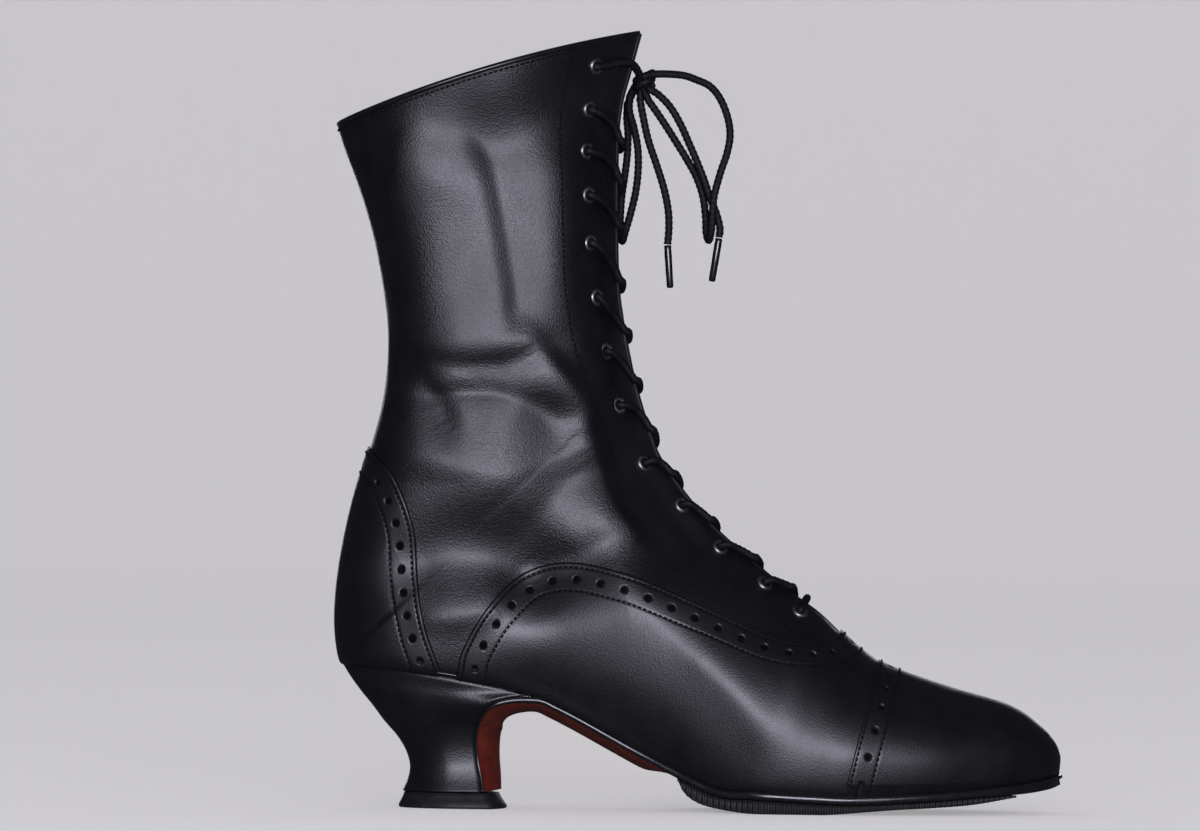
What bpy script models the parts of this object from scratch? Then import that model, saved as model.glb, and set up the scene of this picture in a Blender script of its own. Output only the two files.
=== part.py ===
"""Lace-up boot on a spool heel, for a right foot.

Frame: +X to the toe, -Y to the outer side of the foot, +Z up, origin on the floor under the boot's middle.
Tables and named sizes are in millimetres. Meshes are made in metres.
"""

import math

import bmesh
import bpy
import numpy as np
from mathutils import Matrix, Vector

MM = 0.001

# Driving sizes
GAP = 0.3             # between pieces that meet
WALL = 1.8            # upper leather with its lining
OVERLAY = 0.9         # vamp and counter leather
CAP_LEATHER = 1.4     # toe cap leather, doubled over the vamp
INSOLE = 2.2
INSOLE_INSET = 2.8    # from the feather line to the insole's edge
TONGUE = 1.4
TONGUE_CLEAR = 1.3    # between the tongue and the upper's wall
TONGUE_ANGLES = (0.45, 0.725, 1.0)   # where its half is cut, in the upper's angles
EYELET_HOLE = 1.9     # radius cut in the upper
EYELET_BORE = 1.55    # radius of the ring's hole
EYELET_RIM = 3.0      # radius of the ring
EYELET_HEIGHT = 0.8
EYELET_BEVEL = 0.3
EYELET_LIFT = 0.6     # from the curved facing to the flat ring
EYELET_SIDES = 6
HOLE_DEPTH = 8.0
LACE = 1.35           # lace radius
AGLET = 1.5           # aglet radius
LACE_STEP = 8.0       # between a free cord's points
ARM_STEP = 5.0        # between the points of the lowest bar and of the knot's two arms
RUN_SHARES = ((0.3, 0.66), (0.64, 0.3))   # a crossing's way down to the next eyelet, and in to the edge
RUN_CLEAR = 0.7       # how far its middle stands off the curved facing
EDGE_SHARE = 0.88     # how far down it passes its facing's edge
MEET_SHARE = 1.05     # how far down its two runs meet
LAST_RUN = 0.7        # the lowest crossing ends sooner, above the bar
RIB_PITCH = 2.6       # ribs along the rubber's side
RIB_DEPTH = 0.9
RUBBER_LEAST = 0.8    # the rubber's least thickness
SOLE_EDGE = 2.6       # how far the forepart's edge stands out from the feather line
WAIST_EDGE = 0.9
SOLE_THICK = 3.0      # leather at the forepart's edge
TOE_THICK = 3.7       # leather at the toe's edge
WAIST_THICK = 2.3     # leather at the waist's edge
WAIST_CROWN = 3.6     # how far the waist's middle hangs below its edge
FLAP_THICK = 0.9      # leather at the foot of the breast's flap
FLAP_CROWN = 1.6
FLAP_LAP = 3.0        # from the waist's last ring to the breast's top
FORE_X = (-30.0, 15.0)   # where the waist's edge widens into the forepart's
FLAT_X = (-18.0, -6.0)   # where the crown runs out
TOE_X = (95.0, 120.0)    # where the edge thickens to the toe's
BLOCK_REACH = 80.0    # half width of the blocks that cut the overlays
FEATHER_CLEAR = 0.8   # between the overlays' lower edge and the sole

# Upper sections, from the toe over the ball and heel up to the collar. Each is a sheet across the boot,
# from a front point down or back to a back point. mid is its middle in Y, outer and inner its half widths,
# seat the share of the half width left at the back point, widest the share of the depth where it is widest,
# edge how the front closes (0.5 round, 1 wedge, 1.5 flanged), gap half the throat's opening, rise its
# upward bow, flat how flat its sides are (2 is round).
COLUMNS = (
    "front_x", "front_z", "back_x", "back_z", "mid", "outer",
    "inner", "seat", "widest", "edge", "gap", "rise", "flat",
)
SECTIONS = (
    (129.4, 20.0, 128.9, 14.4, 5.0, 0.0, 0.0, 0.90, 0.70, 0.50, 0.0, 0.0, 2.0),
    (127.6, 24.9, 125.6, 13.7, 5.0, 10.5, 10.5, 0.90, 0.72, 0.50, 0.0, 0.0, 2.0),
    (122.3, 30.7, 120.0, 12.4, 4.8, 18.0, 17.5, 0.90, 0.73, 0.50, 0.0, 0.0, 2.0),
    (111.9, 37.7, 108.0, 10.8, 4.2, 26.5, 25.5, 0.92, 0.74, 0.50, 0.0, 0.0, 2.0),
    (90.3, 44.0, 83.0, 8.4, 2.5, 35.0, 33.0, 0.93, 0.75, 0.52, 0.0, 0.0, 2.0),
    (68.5, 51.5, 56.0, 7.0, 0.8, 38.5, 36.0, 0.93, 0.75, 0.55, 0.0, 0.0, 2.0),
    (57.6, 58.4, 41.0, 7.4, 0.2, 39.0, 35.2, 0.93, 0.75, 0.56, 0.0, 0.0, 2.0),
    (50.4, 65.0, 30.0, 7.9, -0.3, 38.6, 33.4, 0.92, 0.74, 0.58, 0.0, 0.0, 2.0),
    (42.5, 72.2, 20.0, 8.5, -0.8, 37.5, 31.5, 0.90, 0.73, 0.66, 2.6, 0.0, 2.0),
    (29.8, 81.3, 6.0, 9.9, -1.4, 35.2, 28.8, 0.80, 0.72, 0.80, 3.2, 0.0, 2.0),
    (4.3, 102.6, -20.0, 22.0, -1.6, 31.8, 26.5, 0.70, 0.68, 1.00, 4.0, 0.0, 2.0),
    (-13.2, 124.0, -56.0, 40.4, -0.8, 30.0, 27.5, 0.72, 0.62, 1.10, 4.6, 0.0, 2.1),
    (-18.1, 134.8, -85.0, 47.5, 0.0, 29.8, 28.6, 0.83, 0.58, 1.15, 5.0, 0.0, 2.3),
    (-20.6, 141.5, -104.0, 50.1, 0.0, 29.6, 28.8, 0.81, 0.57, 1.18, 5.0, 0.0, 2.4),
    (-22.6, 148.0, -117.0, 51.7, 0.0, 29.5, 28.9, 0.62, 0.56, 1.20, 5.2, 0.0, 2.5),
    (-24.2, 153.6, -125.0, 52.8, 0.0, 29.4, 29.0, 0.34, 0.55, 1.20, 5.3, 0.0, 2.55),
    (-25.4, 158.5, -128.4, 53.3, 0.0, 29.3, 29.0, 0.00, 0.54, 1.22, 5.4, 0.0, 2.6),
    (-27.0, 166.0, -130.2, 68.0, 0.0, 29.2, 29.0, 0.00, 0.53, 1.22, 5.5, 0.0, 2.6),
    (-28.2, 172.0, -128.8, 87.0, 0.0, 29.2, 29.0, 0.00, 0.53, 1.23, 5.5, 0.0, 2.65),
    (-29.2, 178.0, -124.7, 108.3, 0.0, 29.2, 29.0, 0.00, 0.53, 1.24, 5.5, 0.0, 2.7),
    (-30.3, 186.0, -119.2, 128.1, 0.0, 29.3, 29.1, 0.00, 0.53, 1.25, 5.6, 0.0, 2.7),
    (-31.0, 198.0, -114.4, 148.5, 0.0, 29.4, 29.2, 0.00, 0.53, 1.25, 5.6, 0.0, 2.7),
    (-31.3, 214.0, -113.2, 171.0, 0.0, 29.8, 29.6, 0.00, 0.54, 1.25, 5.7, 0.0, 2.7),
    (-31.4, 232.0, -117.2, 198.0, 0.0, 30.8, 30.6, 0.00, 0.55, 1.25, 5.8, 0.3, 2.7),
    (-31.2, 244.0, -121.9, 215.6, 0.0, 32.0, 31.8, 0.00, 0.55, 1.25, 5.9, 0.7, 2.7),
    (-30.0, 254.5, -126.0, 227.2, 0.0, 33.0, 32.8, 0.00, 0.55, 1.25, 6.1, 1.3, 2.6),
    (-27.6, 264.0, -129.6, 236.6, 0.0, 33.8, 33.6, 0.00, 0.55, 1.25, 6.3, 2.0, 2.5),
    (-23.7, 279.0, -132.4, 245.0, 0.0, 34.5, 34.3, 0.00, 0.55, 1.25, 6.6, 2.9, 2.4),
)
THROAT_ROW = 7                                 # the throat starts here
HEEL_ROW = 16                                  # the upper closes behind the heel from here
LAST_ROW = len(SECTIONS) - 1
FAN_ROWS = (12, 20)                            # the front edge's sections lie close here
HALVED_ROWS = (0, 4, 5, 9, 10, 11, 16, 20)   # steps with a section between
FRONT_ANGLES = (0.0, 0.32, 0.72, 1.14)          # where a section is cut in its front half
BACK_STEPS = 4

# Overlay edges in the side view, (x, z)
WING_EDGE = (
    (-86.5, 48.6), (-84.5, 57.7), (-75.3, 73.3), (-62.5, 85.3), (-45.6, 89.1), (-22.5, 84.3),
    (0.3, 74.2), (24.9, 63.3), (38.0, 61.0), (46.0, 62.4), (50.2, 64.4),
)
CAP_EDGE = ((64.3, 55.5), (59.4, 37.4), (56.3, 26.2), (52.6, 11.0))
COUNTER_EDGE = (
    (-119.2, 129.3), (-109.7, 118.6), (-103.0, 101.4), (-101.3, 82.7), (-97.9, 64.7), (-92.7, 50.4),
)

# Eyelet centres in the side view, (x, z), from the top
EYELETS = (
    (-39.1, 266.7), (-41.0, 251.2), (-42.7, 236.4), (-42.5, 220.5), (-41.6, 203.3), (-39.2, 183.9),
    (-35.7, 164.5), (-30.4, 145.1), (-20.1, 124.7), (-6.6, 109.7), (7.3, 94.8), (23.3, 82.0), (36.0, 72.1),
)

# Tread of the forepart, (x, z): flat between the two rows at zero, then toe spring
TREAD = (
    (-5.5, 7.0), (-2.0, 4.2), (8.7, 2.0), (18.0, 0.0), (45.0, 0.0),
    (69.0, 1.9), (84.0, 2.8), (98.0, 4.0), (113.0, 6.6),
)

# Heel levels from the tread up: back point, breast point, half width, and the breast's forward swell
HEEL_COLUMNS = ("back_x", "back_z", "breast_x", "breast_z", "half", "swell")
HEEL_LEVELS = (
    (-105.9, 5.9, -77.7, 5.9, 17.4, 4.6),
    (-104.1, 10.3, -78.4, 11.0, 16.0, 4.9),
    (-103.4, 14.9, -79.5, 16.5, 15.3, 5.3),
    (-104.9, 20.3, -80.2, 22.5, 15.8, 5.6),
    (-108.2, 25.7, -80.0, 28.0, 17.4, 5.6),
    (-112.9, 31.0, -78.8, 32.5, 19.5, 5.2),
    (-117.0, 36.4, -76.4, 36.4, 21.4, 4.2),
    (-121.4, 41.7, -72.0, 39.2, 22.8, 2.6),
    (-125.4, 47.1, -66.5, 40.5, 23.6, 1.0),
    (-128.6, 52.3, -60.9, 40.9, 24.6, 0.0),
)
ACROSS = 4             # strips across the sole and breast
HEEL_STEPS = 8         # steps round each half of the heel's back
HEEL_BACK = 0.9        # power of the heel's roundness along the foot
HEEL_SIDE = 0.8        # power of its roundness across
HEEL_TAPER = 0.1       # how much it narrows towards the breast
HEEL_BLEND = 2.2       # how soon it reaches its own width behind the breast's corners
BREAST_SHARE = 0.93    # the breast corner's share of the heel's half width
BREAST_FLARE = (30.0, 41.0)   # heights between which the breast widens into the waist
FLAP_LEVEL = 4         # the flap is thinnest from this level down
SEAT_X = (66.0, 76.0)  # how far back the heel's top comes up to the feather line
# Heel tread, rings from its top: height, and spread of the heel's lowest level
LIFT_RINGS = ((5.6, 1.04), (4.4, 1.07), (1.0, 1.19), (0.0, 1.16))
LIFT_FORWARD = 1.2

# Corners of the blocks that cut the overlays, clear of the boot
BLOCK_TOE = 140.0
BLOCK_HEEL = -140.0
BLOCK_INSTEP = 72.0
BLOCK_COUNTER = 131.0

# Lace bow: route points (x, y, z)
KNOT = (-22.9, 0.0, 261.5)
KNOT_RADII = (3.4, 4.2, 5.0)
END_A = (
    (-20.0, -5.0, 259.0), (-16.8, -5.6, 257.1), (-12.5, -6.0, 252.7), (-8.7, -6.2, 246.4),
    (-5.8, -6.3, 240.1),
    (-3.0, -6.3, 233.8), (0.0, -6.3, 226.4), (2.2, -6.3, 220.1), (4.4, -6.2, 214.8), (5.8, -6.0, 209.5),
    (5.5, -5.9, 206.1),
)
AGLET_A = ((5.5, -5.9, 205.8), (3.1, -5.4, 190.2))
END_B = (
    (-23.4, 1.0, 255.4), (-22.5, 1.0, 250.5), (-20.3, 1.0, 241.0), (-17.0, 1.0, 231.5), (-14.3, 1.0, 223.0),
    (-12.8, 1.0, 215.6), (-12.5, 1.0, 209.3), (-12.9, 1.0, 203.5),
)
AGLET_B = ((-12.9, 1.0, 203.2), (-11.8, 1.0, 187.8))
LOOP_A = (
    (-20.5, -2.0, 255.3), (-15.6, -2.6, 248.4), (-10.8, -3.0, 241.1), (-6.5, -3.0, 234.3),
    (-2.9, -3.0, 227.9),
    (-0.5, -3.2, 221.1), (0.6, -3.8, 213.7), (0.9, -4.4, 207.9), (1.8, -6.2, 205.0), (2.7, -8.2, 208.4),
    (3.0, -9.3, 214.2), (3.6, -9.8, 221.1), (5.8, -10.0, 229.6), (7.9, -10.0, 236.0), (9.0, -9.6, 242.4),
    (8.2, -9.0, 248.7), (5.5, -8.0, 255.6), (1.7, -7.0, 260.3), (-3.1, -6.0, 262.6), (-7.9, -5.0, 264.2),
    (-14.2, -3.6, 264.7), (-19.5, -2.5, 264.6),
)
LOOP_B = (
    (-27.1, 4.0, 256.8), (-27.2, 5.6, 251.5), (-25.4, 7.4, 245.1), (-24.0, 8.6, 237.8), (-23.8, 9.2, 230.3),
    (-24.6, 9.6, 222.4), (-26.4, 10.0, 214.4), (-28.2, 10.2, 208.0), (-29.2, 11.8, 204.6),
    (-29.9, 13.4, 207.5),
    (-30.0, 13.4, 213.3), (-29.6, 13.0, 220.7), (-28.6, 12.5, 228.2), (-27.8, 12.0, 235.6),
    (-27.6, 11.0, 243.0),
    (-28.1, 9.5, 248.8), (-27.9, 7.5, 254.1),
)

LEATHER = (0.012, 0.012, 0.016)
RED_LEATHER = (0.110, 0.022, 0.014)
RUBBER = (0.010, 0.010, 0.011)
METAL = (0.030, 0.030, 0.034)
LACE_BLACK = (0.008, 0.008, 0.009)


def clear_scene():
    for obj in list(bpy.data.objects):
        bpy.data.objects.remove(obj, do_unlink=True)


def make_collection(name):
    collection = bpy.data.collections.new(name)
    bpy.context.scene.collection.children.link(collection)
    return collection


def make_material(name, colour, roughness, metallic=0.0):
    material = bpy.data.materials.new(name)
    material.use_nodes = True
    shader = material.node_tree.nodes["Principled BSDF"]
    shader.inputs["Base Color"].default_value = (*colour, 1.0)
    shader.inputs["Roughness"].default_value = roughness
    shader.inputs["Metallic"].default_value = metallic
    return material


def smooth_rows(rows, place):
    """Values at a place along a table, on a smooth curve through its rows."""
    rows = np.asarray(rows, dtype=float)
    last = len(rows) - 1
    step = min(int(place), last - 1)
    t = place - step
    here, ahead = rows[step], rows[step + 1]
    before = rows[step - 1] if step > 0 else 2 * here - ahead
    after = rows[step + 2] if step + 2 <= last else 2 * ahead - here
    return here + 0.5 * t * (
        ahead - before
        + t * (2 * before - 5 * here + 4 * ahead - after + t * (3 * (here - ahead) + after - before))
    )


def smooth_line(points, steps):
    """Points on a smooth curve through route points, with the same count of steps between each two."""
    places = np.linspace(0, len(points) - 1, (len(points) - 1) * steps + 1)
    return [tuple(smooth_rows(points, place)) for place in places]


def spaced_line(points, spacing):
    """Points at an even spacing on the smooth curve through route points."""
    dense = np.array(smooth_line(points, 12))
    lengths = np.concatenate(([0], np.cumsum(np.linalg.norm(np.diff(dense, axis=0), axis=1))))
    marks = np.linspace(0, lengths[-1], max(round(lengths[-1] / spacing), 2) + 1)
    return np.column_stack([np.interp(marks, lengths, dense[:, axis]) for axis in range(3)])


def section(place):
    """The upper's section at a place along the table, as a dictionary of its columns."""
    row = dict(zip(COLUMNS, smooth_rows(SECTIONS, place)))
    if place <= THROAT_ROW:
        row["gap"] = 0.0
    if place >= HEEL_ROW:
        row["seat"] = 0.0
    return row


def upper_point(place, side, angle):
    """A point of the upper's outer face: side -1 is outside and 1 inside, angle 0 is front and pi back."""
    row = section(place)
    half = row["outer"] if side < 0 else row["inner"]
    if angle <= math.pi / 2:
        depth = row["widest"] * (1 - math.cos(angle))
        closed = (1 - max(math.cos(angle), 0.0) ** row["flat"]) ** row["edge"]
        spread = row["gap"] + max(half - row["gap"], 0.0) * closed
    else:
        turn = angle - math.pi / 2
        depth = row["widest"] + (1 - row["widest"]) * math.sin(turn)
        foot = half * row["seat"]
        closed = max(1 - math.sin(turn) ** row["flat"], 0.0) ** (1 / row["flat"])
        spread = foot + (half - foot) * closed
    run_x = row["back_x"] - row["front_x"]
    run_z = row["back_z"] - row["front_z"]
    bow = 4 * depth * (1 - depth) * row["rise"] / math.hypot(run_x, run_z)
    x = row["front_x"] + depth * run_x + bow * run_z
    z = row["front_z"] + depth * run_z - bow * run_x
    return np.array((x, row["mid"] + side * spread, z))


def upper_normal(place, side, angle):
    """Outward direction of the upper's outer face."""
    step = 0.01
    along = upper_point(place + step, side, angle) - upper_point(place - step, side, angle)
    around = upper_point(place, side, angle + step) - upper_point(place, side, angle - step)
    normal = np.cross(along, around) * side
    return -normal / np.linalg.norm(normal)


def find_on_upper(x, z, side):
    """Place and angle on the upper's face that show at (x, z) from the side, by search on finer grids."""
    place, angle = 0.75 * LAST_ROW, 0.5
    place_reach, angle_reach = 0.25 * LAST_ROW, 0.45
    for _ in range(14):
        options = [
            (p, a)
            for p in np.linspace(place - place_reach, place + place_reach, 13)
            for a in np.linspace(angle - angle_reach, angle + angle_reach, 9)
            if THROAT_ROW <= p <= LAST_ROW and a > 0.02
        ]
        misses = [math.hypot(*(upper_point(p, side, a)[[0, 2]] - (x, z))) for p, a in options]
        place, angle = options[int(np.argmin(misses))]
        place_reach *= 0.55
        angle_reach *= 0.55
    return place, angle


def place_list():
    """Places of the upper's faceted sections."""
    places = []
    for row in range(LAST_ROW):
        places.append(float(row))
        if row in HALVED_ROWS:
            places.append(row + 0.5)
    return places + [float(LAST_ROW)]


def angle_list():
    back = [math.pi / 2 * (1 + k / BACK_STEPS) for k in range(BACK_STEPS + 1)]
    return [*FRONT_ANGLES, *back]


def to_mesh(name, work):
    mesh = bpy.data.meshes.new(name)
    work.to_mesh(mesh)
    work.free()
    return mesh


def upper_surface(name):
    """The upper's outer face as an open mesh."""
    places, angles = place_list(), angle_list()
    work = bmesh.new()
    for side in (-1, 1):
        grid = [[work.verts.new(upper_point(p, side, a) * MM) for a in angles] for p in places]
        for i in range(len(places) - 1):
            for j in range(len(angles) - 1):
                corners = [grid[i][j], grid[i + 1][j], grid[i + 1][j + 1], grid[i][j + 1]]
                work.faces.new(corners if side < 0 else corners[::-1])
    bmesh.ops.remove_doubles(work, verts=work.verts, dist=1e-6)
    bmesh.ops.dissolve_degenerate(work, edges=work.edges, dist=1e-6)
    bmesh.ops.triangulate(work, faces=work.faces, quad_method="SHORT_EDGE")
    return to_mesh(name, work)


def add_object(name, mesh, material, collection):
    obj = bpy.data.objects.new(name, mesh)
    collection.objects.link(obj)
    if material:
        obj.data.materials.append(material)
    return obj


def add_cutter(name, mesh, collection):
    cutter = add_object(name, mesh, None, collection)
    cutter.hide_render = True
    cutter.display_type = "WIRE"
    return cutter


def add_boolean(obj, cutter, operation):
    modifier = obj.modifiers.new(operation.title(), "BOOLEAN")
    modifier.operation = operation
    modifier.solver = "EXACT"
    modifier.object = cutter


def add_shell(obj, inner, outer):
    """Solidify an open face between two distances outwards from it."""
    modifier = obj.modifiers.new("Leather", "SOLIDIFY")
    modifier.thickness = (outer - inner) * MM
    modifier.offset = (outer + inner) / (outer - inner)
    modifier.use_even_offset = False
    modifier.use_quality_normals = True


def prism(name, outline):
    """A closed block through the boot from an (x, z) outline."""
    work = bmesh.new()
    face = work.faces.new([work.verts.new((x * MM, -BLOCK_REACH * MM, z * MM)) for x, z in outline])
    moved = bmesh.ops.extrude_face_region(work, geom=[face])["geom"]
    verts = [item for item in moved if isinstance(item, bmesh.types.BMVert)]
    bmesh.ops.translate(work, verts=verts, vec=(0, 2 * BLOCK_REACH * MM, 0))
    bmesh.ops.recalc_face_normals(work, faces=work.faces)
    return to_mesh(name, work)


def loft(name, rings):
    """A closed body through rings of the same count of points, with its two ends filled."""
    work = bmesh.new()
    grid = [[work.verts.new([value * MM for value in point]) for point in ring] for ring in rings]
    count = len(rings[0])
    for first, second in zip(grid, grid[1:]):
        for j in range(count):
            k = (j + 1) % count
            work.faces.new((first[j], first[k], second[k], second[j]))
    work.faces.new(grid[0][::-1])
    work.faces.new(grid[-1])
    bmesh.ops.remove_doubles(work, verts=work.verts, dist=1e-6)
    bmesh.ops.dissolve_degenerate(work, edges=work.edges, dist=1e-6)
    bmesh.ops.recalc_face_normals(work, faces=work.faces)
    return to_mesh(name, work)


def feather_line(place, side):
    """A point of the line where the upper meets the sole."""
    row = section(place)
    half = row["outer"] if side < 0 else row["inner"]
    return np.array((row["back_x"], row["mid"] + side * half * row["seat"], row["back_z"]))


def sole_edge(place, side, out):
    """The feather line moved outwards in plan by a distance."""
    step = 0.02
    here = feather_line(place, side)
    if place < step:
        return here + (out, 0, 0)
    run = feather_line(place + step, side) - feather_line(place - step, side)
    length = math.hypot(run[0], run[1])
    return here + np.array((-run[1] * side, run[0] * side, 0)) * (-out / length)


def place_at_back_x(x):
    """Place along the table whose back point is at x, along the foot."""
    places = np.linspace(0, HEEL_ROW, 400)
    return float(np.interp(-x, [-section(p)["back_x"] for p in places], places))


def sole_normal(place):
    """Downward direction of the sole's top face in the side view."""
    step = 0.05
    first, second = section(max(place - step, 0)), section(place + step)
    run = np.array((second["back_x"] - first["back_x"], 0, second["back_z"] - first["back_z"]))
    run /= np.linalg.norm(run)
    return np.array((run[2], 0, -run[0])) * (1 if run[0] > 0 else -1)


def ramp(x, low, high):
    """0 below low, 1 above high, smooth between."""
    t = min(max((x - low) / (high - low), 0.0), 1.0)
    return t * t * (3 - 2 * t)


def sole_bottom(place):
    """How the leather sole's underside lies at a place: its edge reach, edge thickness and crown."""
    x = section(place)["back_x"]
    fore = ramp(x, *FORE_X)
    crown = WAIST_CROWN * (1 - ramp(x, *FLAT_X))
    reach = WAIST_EDGE + (SOLE_EDGE - WAIST_EDGE) * fore
    thickness = WAIST_THICK + (SOLE_THICK - WAIST_THICK) * fore + (TOE_THICK - SOLE_THICK) * ramp(x, *TOE_X)
    return reach, thickness, crown


def strip_ring(edge_a, edge_b, normal, inner_crown, thickness, outer_crown):
    """A ring across the sole: along its inner face from edge to edge, and back along its outer face."""
    shares = [k / ACROSS for k in range(ACROSS + 1)]
    swell = [1 - (2 * share - 1) ** 2 for share in shares]
    line = [edge_a + (edge_b - edge_a) * share for share in shares]
    inner = [point + normal * (GAP + inner_crown * s) for point, s in zip(line, swell)]
    outer = [point + normal * (thickness + outer_crown * s) for point, s in zip(inner, swell)]
    return inner + outer[::-1]


def heel_level(place):
    return dict(zip(HEEL_COLUMNS, smooth_rows(HEEL_LEVELS, place)))


def breast_normal(place):
    """Forward direction of the heel's breast in the side view."""
    step = 0.05
    top = len(HEEL_LEVELS) - 1
    first, second = heel_level(max(place - step, 0)), heel_level(min(place + step, top))
    run = np.array((second["breast_x"] - first["breast_x"], 0, second["breast_z"] - first["breast_z"]))
    run /= np.linalg.norm(run)
    return np.array((run[2], 0, -run[0]))


def breast_edge(level, side):
    """A corner of the heel's breast, narrowing from the waist's width to the heel's."""
    half = level["half"] * BREAST_SHARE
    waist = ramp(level["breast_z"], *BREAST_FLARE)
    feather = abs(feather_line(place_at_back_x(level["breast_x"]), side)[1]) + WAIST_EDGE
    return np.array((level["breast_x"], side * (half + (feather - half) * waist), level["breast_z"]))


def make_outsole():
    """Leather sole: forepart, waist, and the flap down the heel's breast."""
    rings = []
    top = len(HEEL_LEVELS) - 1
    end = place_at_back_x(heel_level(top)["breast_x"] + FLAP_LAP)
    for place in np.concatenate((np.linspace(0, 3, 9), np.linspace(3.5, end, 27))):
        reach, thickness, crown = sole_bottom(place)
        edges = [sole_edge(place, side, reach) for side in (-1, 1)]
        rings.append(strip_ring(*edges, sole_normal(place), 0.0, thickness, crown))
    for place in range(top - 1, -1, -1):
        level = heel_level(place)
        edges = [breast_edge(level, side) for side in (-1, 1)]
        rise = max(place - FLAP_LEVEL, 0) / (top - FLAP_LEVEL)
        thickness = FLAP_THICK + (WAIST_THICK - FLAP_THICK) * rise
        crown = FLAP_CROWN + (WAIST_CROWN - FLAP_CROWN) * place / top
        rings.append(strip_ring(*edges, breast_normal(place), level["swell"], thickness, crown))
    return loft("outsole", rings)


def make_half_sole():
    """Rubber forepart with a ribbed side, flat where it stands and sprung at the toe."""
    rear, front = TREAD[0][0], TREAD[-1][0]
    count = 2 * round((front - rear) / RIB_PITCH)
    tread_x = [x for x, _ in TREAD]
    tread_z = [z for _, z in TREAD]
    rings = []
    for k in range(count + 1):
        x = rear + (front - rear) * k / count
        place = place_at_back_x(x)
        reach, thickness, _ = sole_bottom(place)
        normal = sole_normal(place)
        lower = float(np.interp(x, tread_x, tread_z))
        top, bottom = [], []
        for side in (-1, 1):
            edge = sole_edge(place, side, reach - (RIB_DEPTH if k % 2 else 0))
            upper_side = edge + normal * (thickness + 2 * GAP)
            top.append(upper_side)
            bottom.append(np.array((upper_side[0], upper_side[1], min(lower, upper_side[2] - RUBBER_LEAST))))
        rings.append(top + bottom[::-1])
    return loft("half_sole", rings)


def heel_ring(level):
    """A level of the heel: round the back from one breast corner to the other, and across the breast."""
    corners = [breast_edge(level, side) for side in (-1, 1)]
    back = np.array((level["back_x"], 0, level["back_z"]))
    ring = []
    for k in range(2 * HEEL_STEPS + 1):
        turn = math.pi * (k / (2 * HEEL_STEPS) - 0.5)
        side = -1 if turn < 0 else 1
        corner = corners[0] if side < 0 else corners[1]
        share = math.cos(turn) ** HEEL_BACK if abs(turn) < math.pi / 2 else 0.0
        centre = np.array((corner[0], 0, corner[2]))
        widest = level["half"] * (1 - HEEL_TAPER * (1 - share) ** 3)
        spread = abs(corner[1]) + (widest - abs(corner[1])) * min(share * HEEL_BLEND, 1.0)
        point = centre + (back - centre) * share
        point[1] = side * spread * abs(math.sin(turn)) ** HEEL_SIDE if share > 0 else corner[1]
        ring.append(point)
    normal = breast_normal(level["place"])
    for k in range(ACROSS - 1, 0, -1):
        share = k / ACROSS
        swell = 1 - (2 * share - 1) ** 2
        ring.append(corners[0] + (corners[1] - corners[0]) * share + normal * level["swell"] * swell)
    return ring


def seat_point(point):
    """A point of the heel's top raised to the feather line, except where the breast's flap turns down."""
    x, y, z = point
    seat = section(place_at_back_x(x))["back_z"] - GAP
    return np.array((x, y, z + (seat - z) * ramp(-x, *SEAT_X)))


def make_heel():
    rings = []
    for place in range(len(HEEL_LEVELS)):
        level = heel_level(place)
        level["place"] = place
        rings.append(heel_ring(level))
    rings[-1] = [seat_point(point) for point in rings[-1]]
    return loft("heel", rings)


def make_top_lift():
    """Rubber tread of the heel, flared to the floor."""
    level = heel_level(0)
    level["place"] = 0
    upper_ring = heel_ring(level)
    centre = np.mean(upper_ring, axis=0)
    rings = []
    for height, spread in LIFT_RINGS:
        ring = [centre + (point - centre) * spread for point in upper_ring]
        rings.append([(point[0] + LIFT_FORWARD, point[1], height) for point in ring])
    return loft("top_lift", rings)


def make_insole():
    """Insole board that closes the foot inside the upper's lower edge."""
    rings = []
    for place in np.concatenate((np.linspace(0.3, 3, 7), np.linspace(3.5, 14, 24), (14.5, 14.9))):
        normal = sole_normal(place)
        edges = [sole_edge(place, side, -INSOLE_INSET) for side in (-1, 1)]
        lower = [edge - normal * GAP for edge in edges]
        top = [edge - normal * (GAP + INSOLE) for edge in edges]
        rings.append(lower + top[::-1])
    return loft("insole", rings)


def tongue_half(place, side):
    """Points of the tongue's front face at a section, from its middle out, just inside the upper's wall."""
    clear = WALL + TONGUE_CLEAR
    row = section(place)
    front = np.array((row["front_x"], row["mid"], row["front_z"]))
    run = np.array((row["back_x"], row["mid"], row["back_z"])) - front
    run /= np.linalg.norm(run)
    points = []
    for angle in TONGUE_ANGLES:
        step = 0.01
        tangent = upper_point(place, side, angle + step) - upper_point(place, side, angle - step)
        depth_run, spread_run = float(tangent @ run), abs(tangent[1])
        length = math.hypot(depth_run, spread_run)
        points.append(
            upper_point(place, side, angle)
            + run * clear * spread_run / length
            - np.array((0, side, 0)) * clear * depth_run / length
        )
    return points


def tongue_places():
    """The upper's own sections from under the vamp to just below the collar, fewer where they fan out."""
    first, last = THROAT_ROW - 1, LAST_ROW - 0.5
    places = [place for place in place_list() if first <= place <= last]
    return [place for place in places if not (FAN_ROWS[0] < place < FAN_ROWS[1] and place % 2)]


def make_tongue():
    """Tongue behind the throat, folded to the facings, as an open face."""
    work = bmesh.new()
    grid = []
    for place in tongue_places():
        outer, inner = tongue_half(place, -1), tongue_half(place, 1)
        nose = (outer[0] + inner[0]) / 2
        row = outer[::-1] + [nose] + inner
        grid.append([work.verts.new(point * MM) for point in row])
    for first, second in zip(grid, grid[1:]):
        for j in range(len(first) - 1):
            work.faces.new((first[j], first[j + 1], second[j + 1], second[j]))
    return to_mesh("tongue", work)


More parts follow.
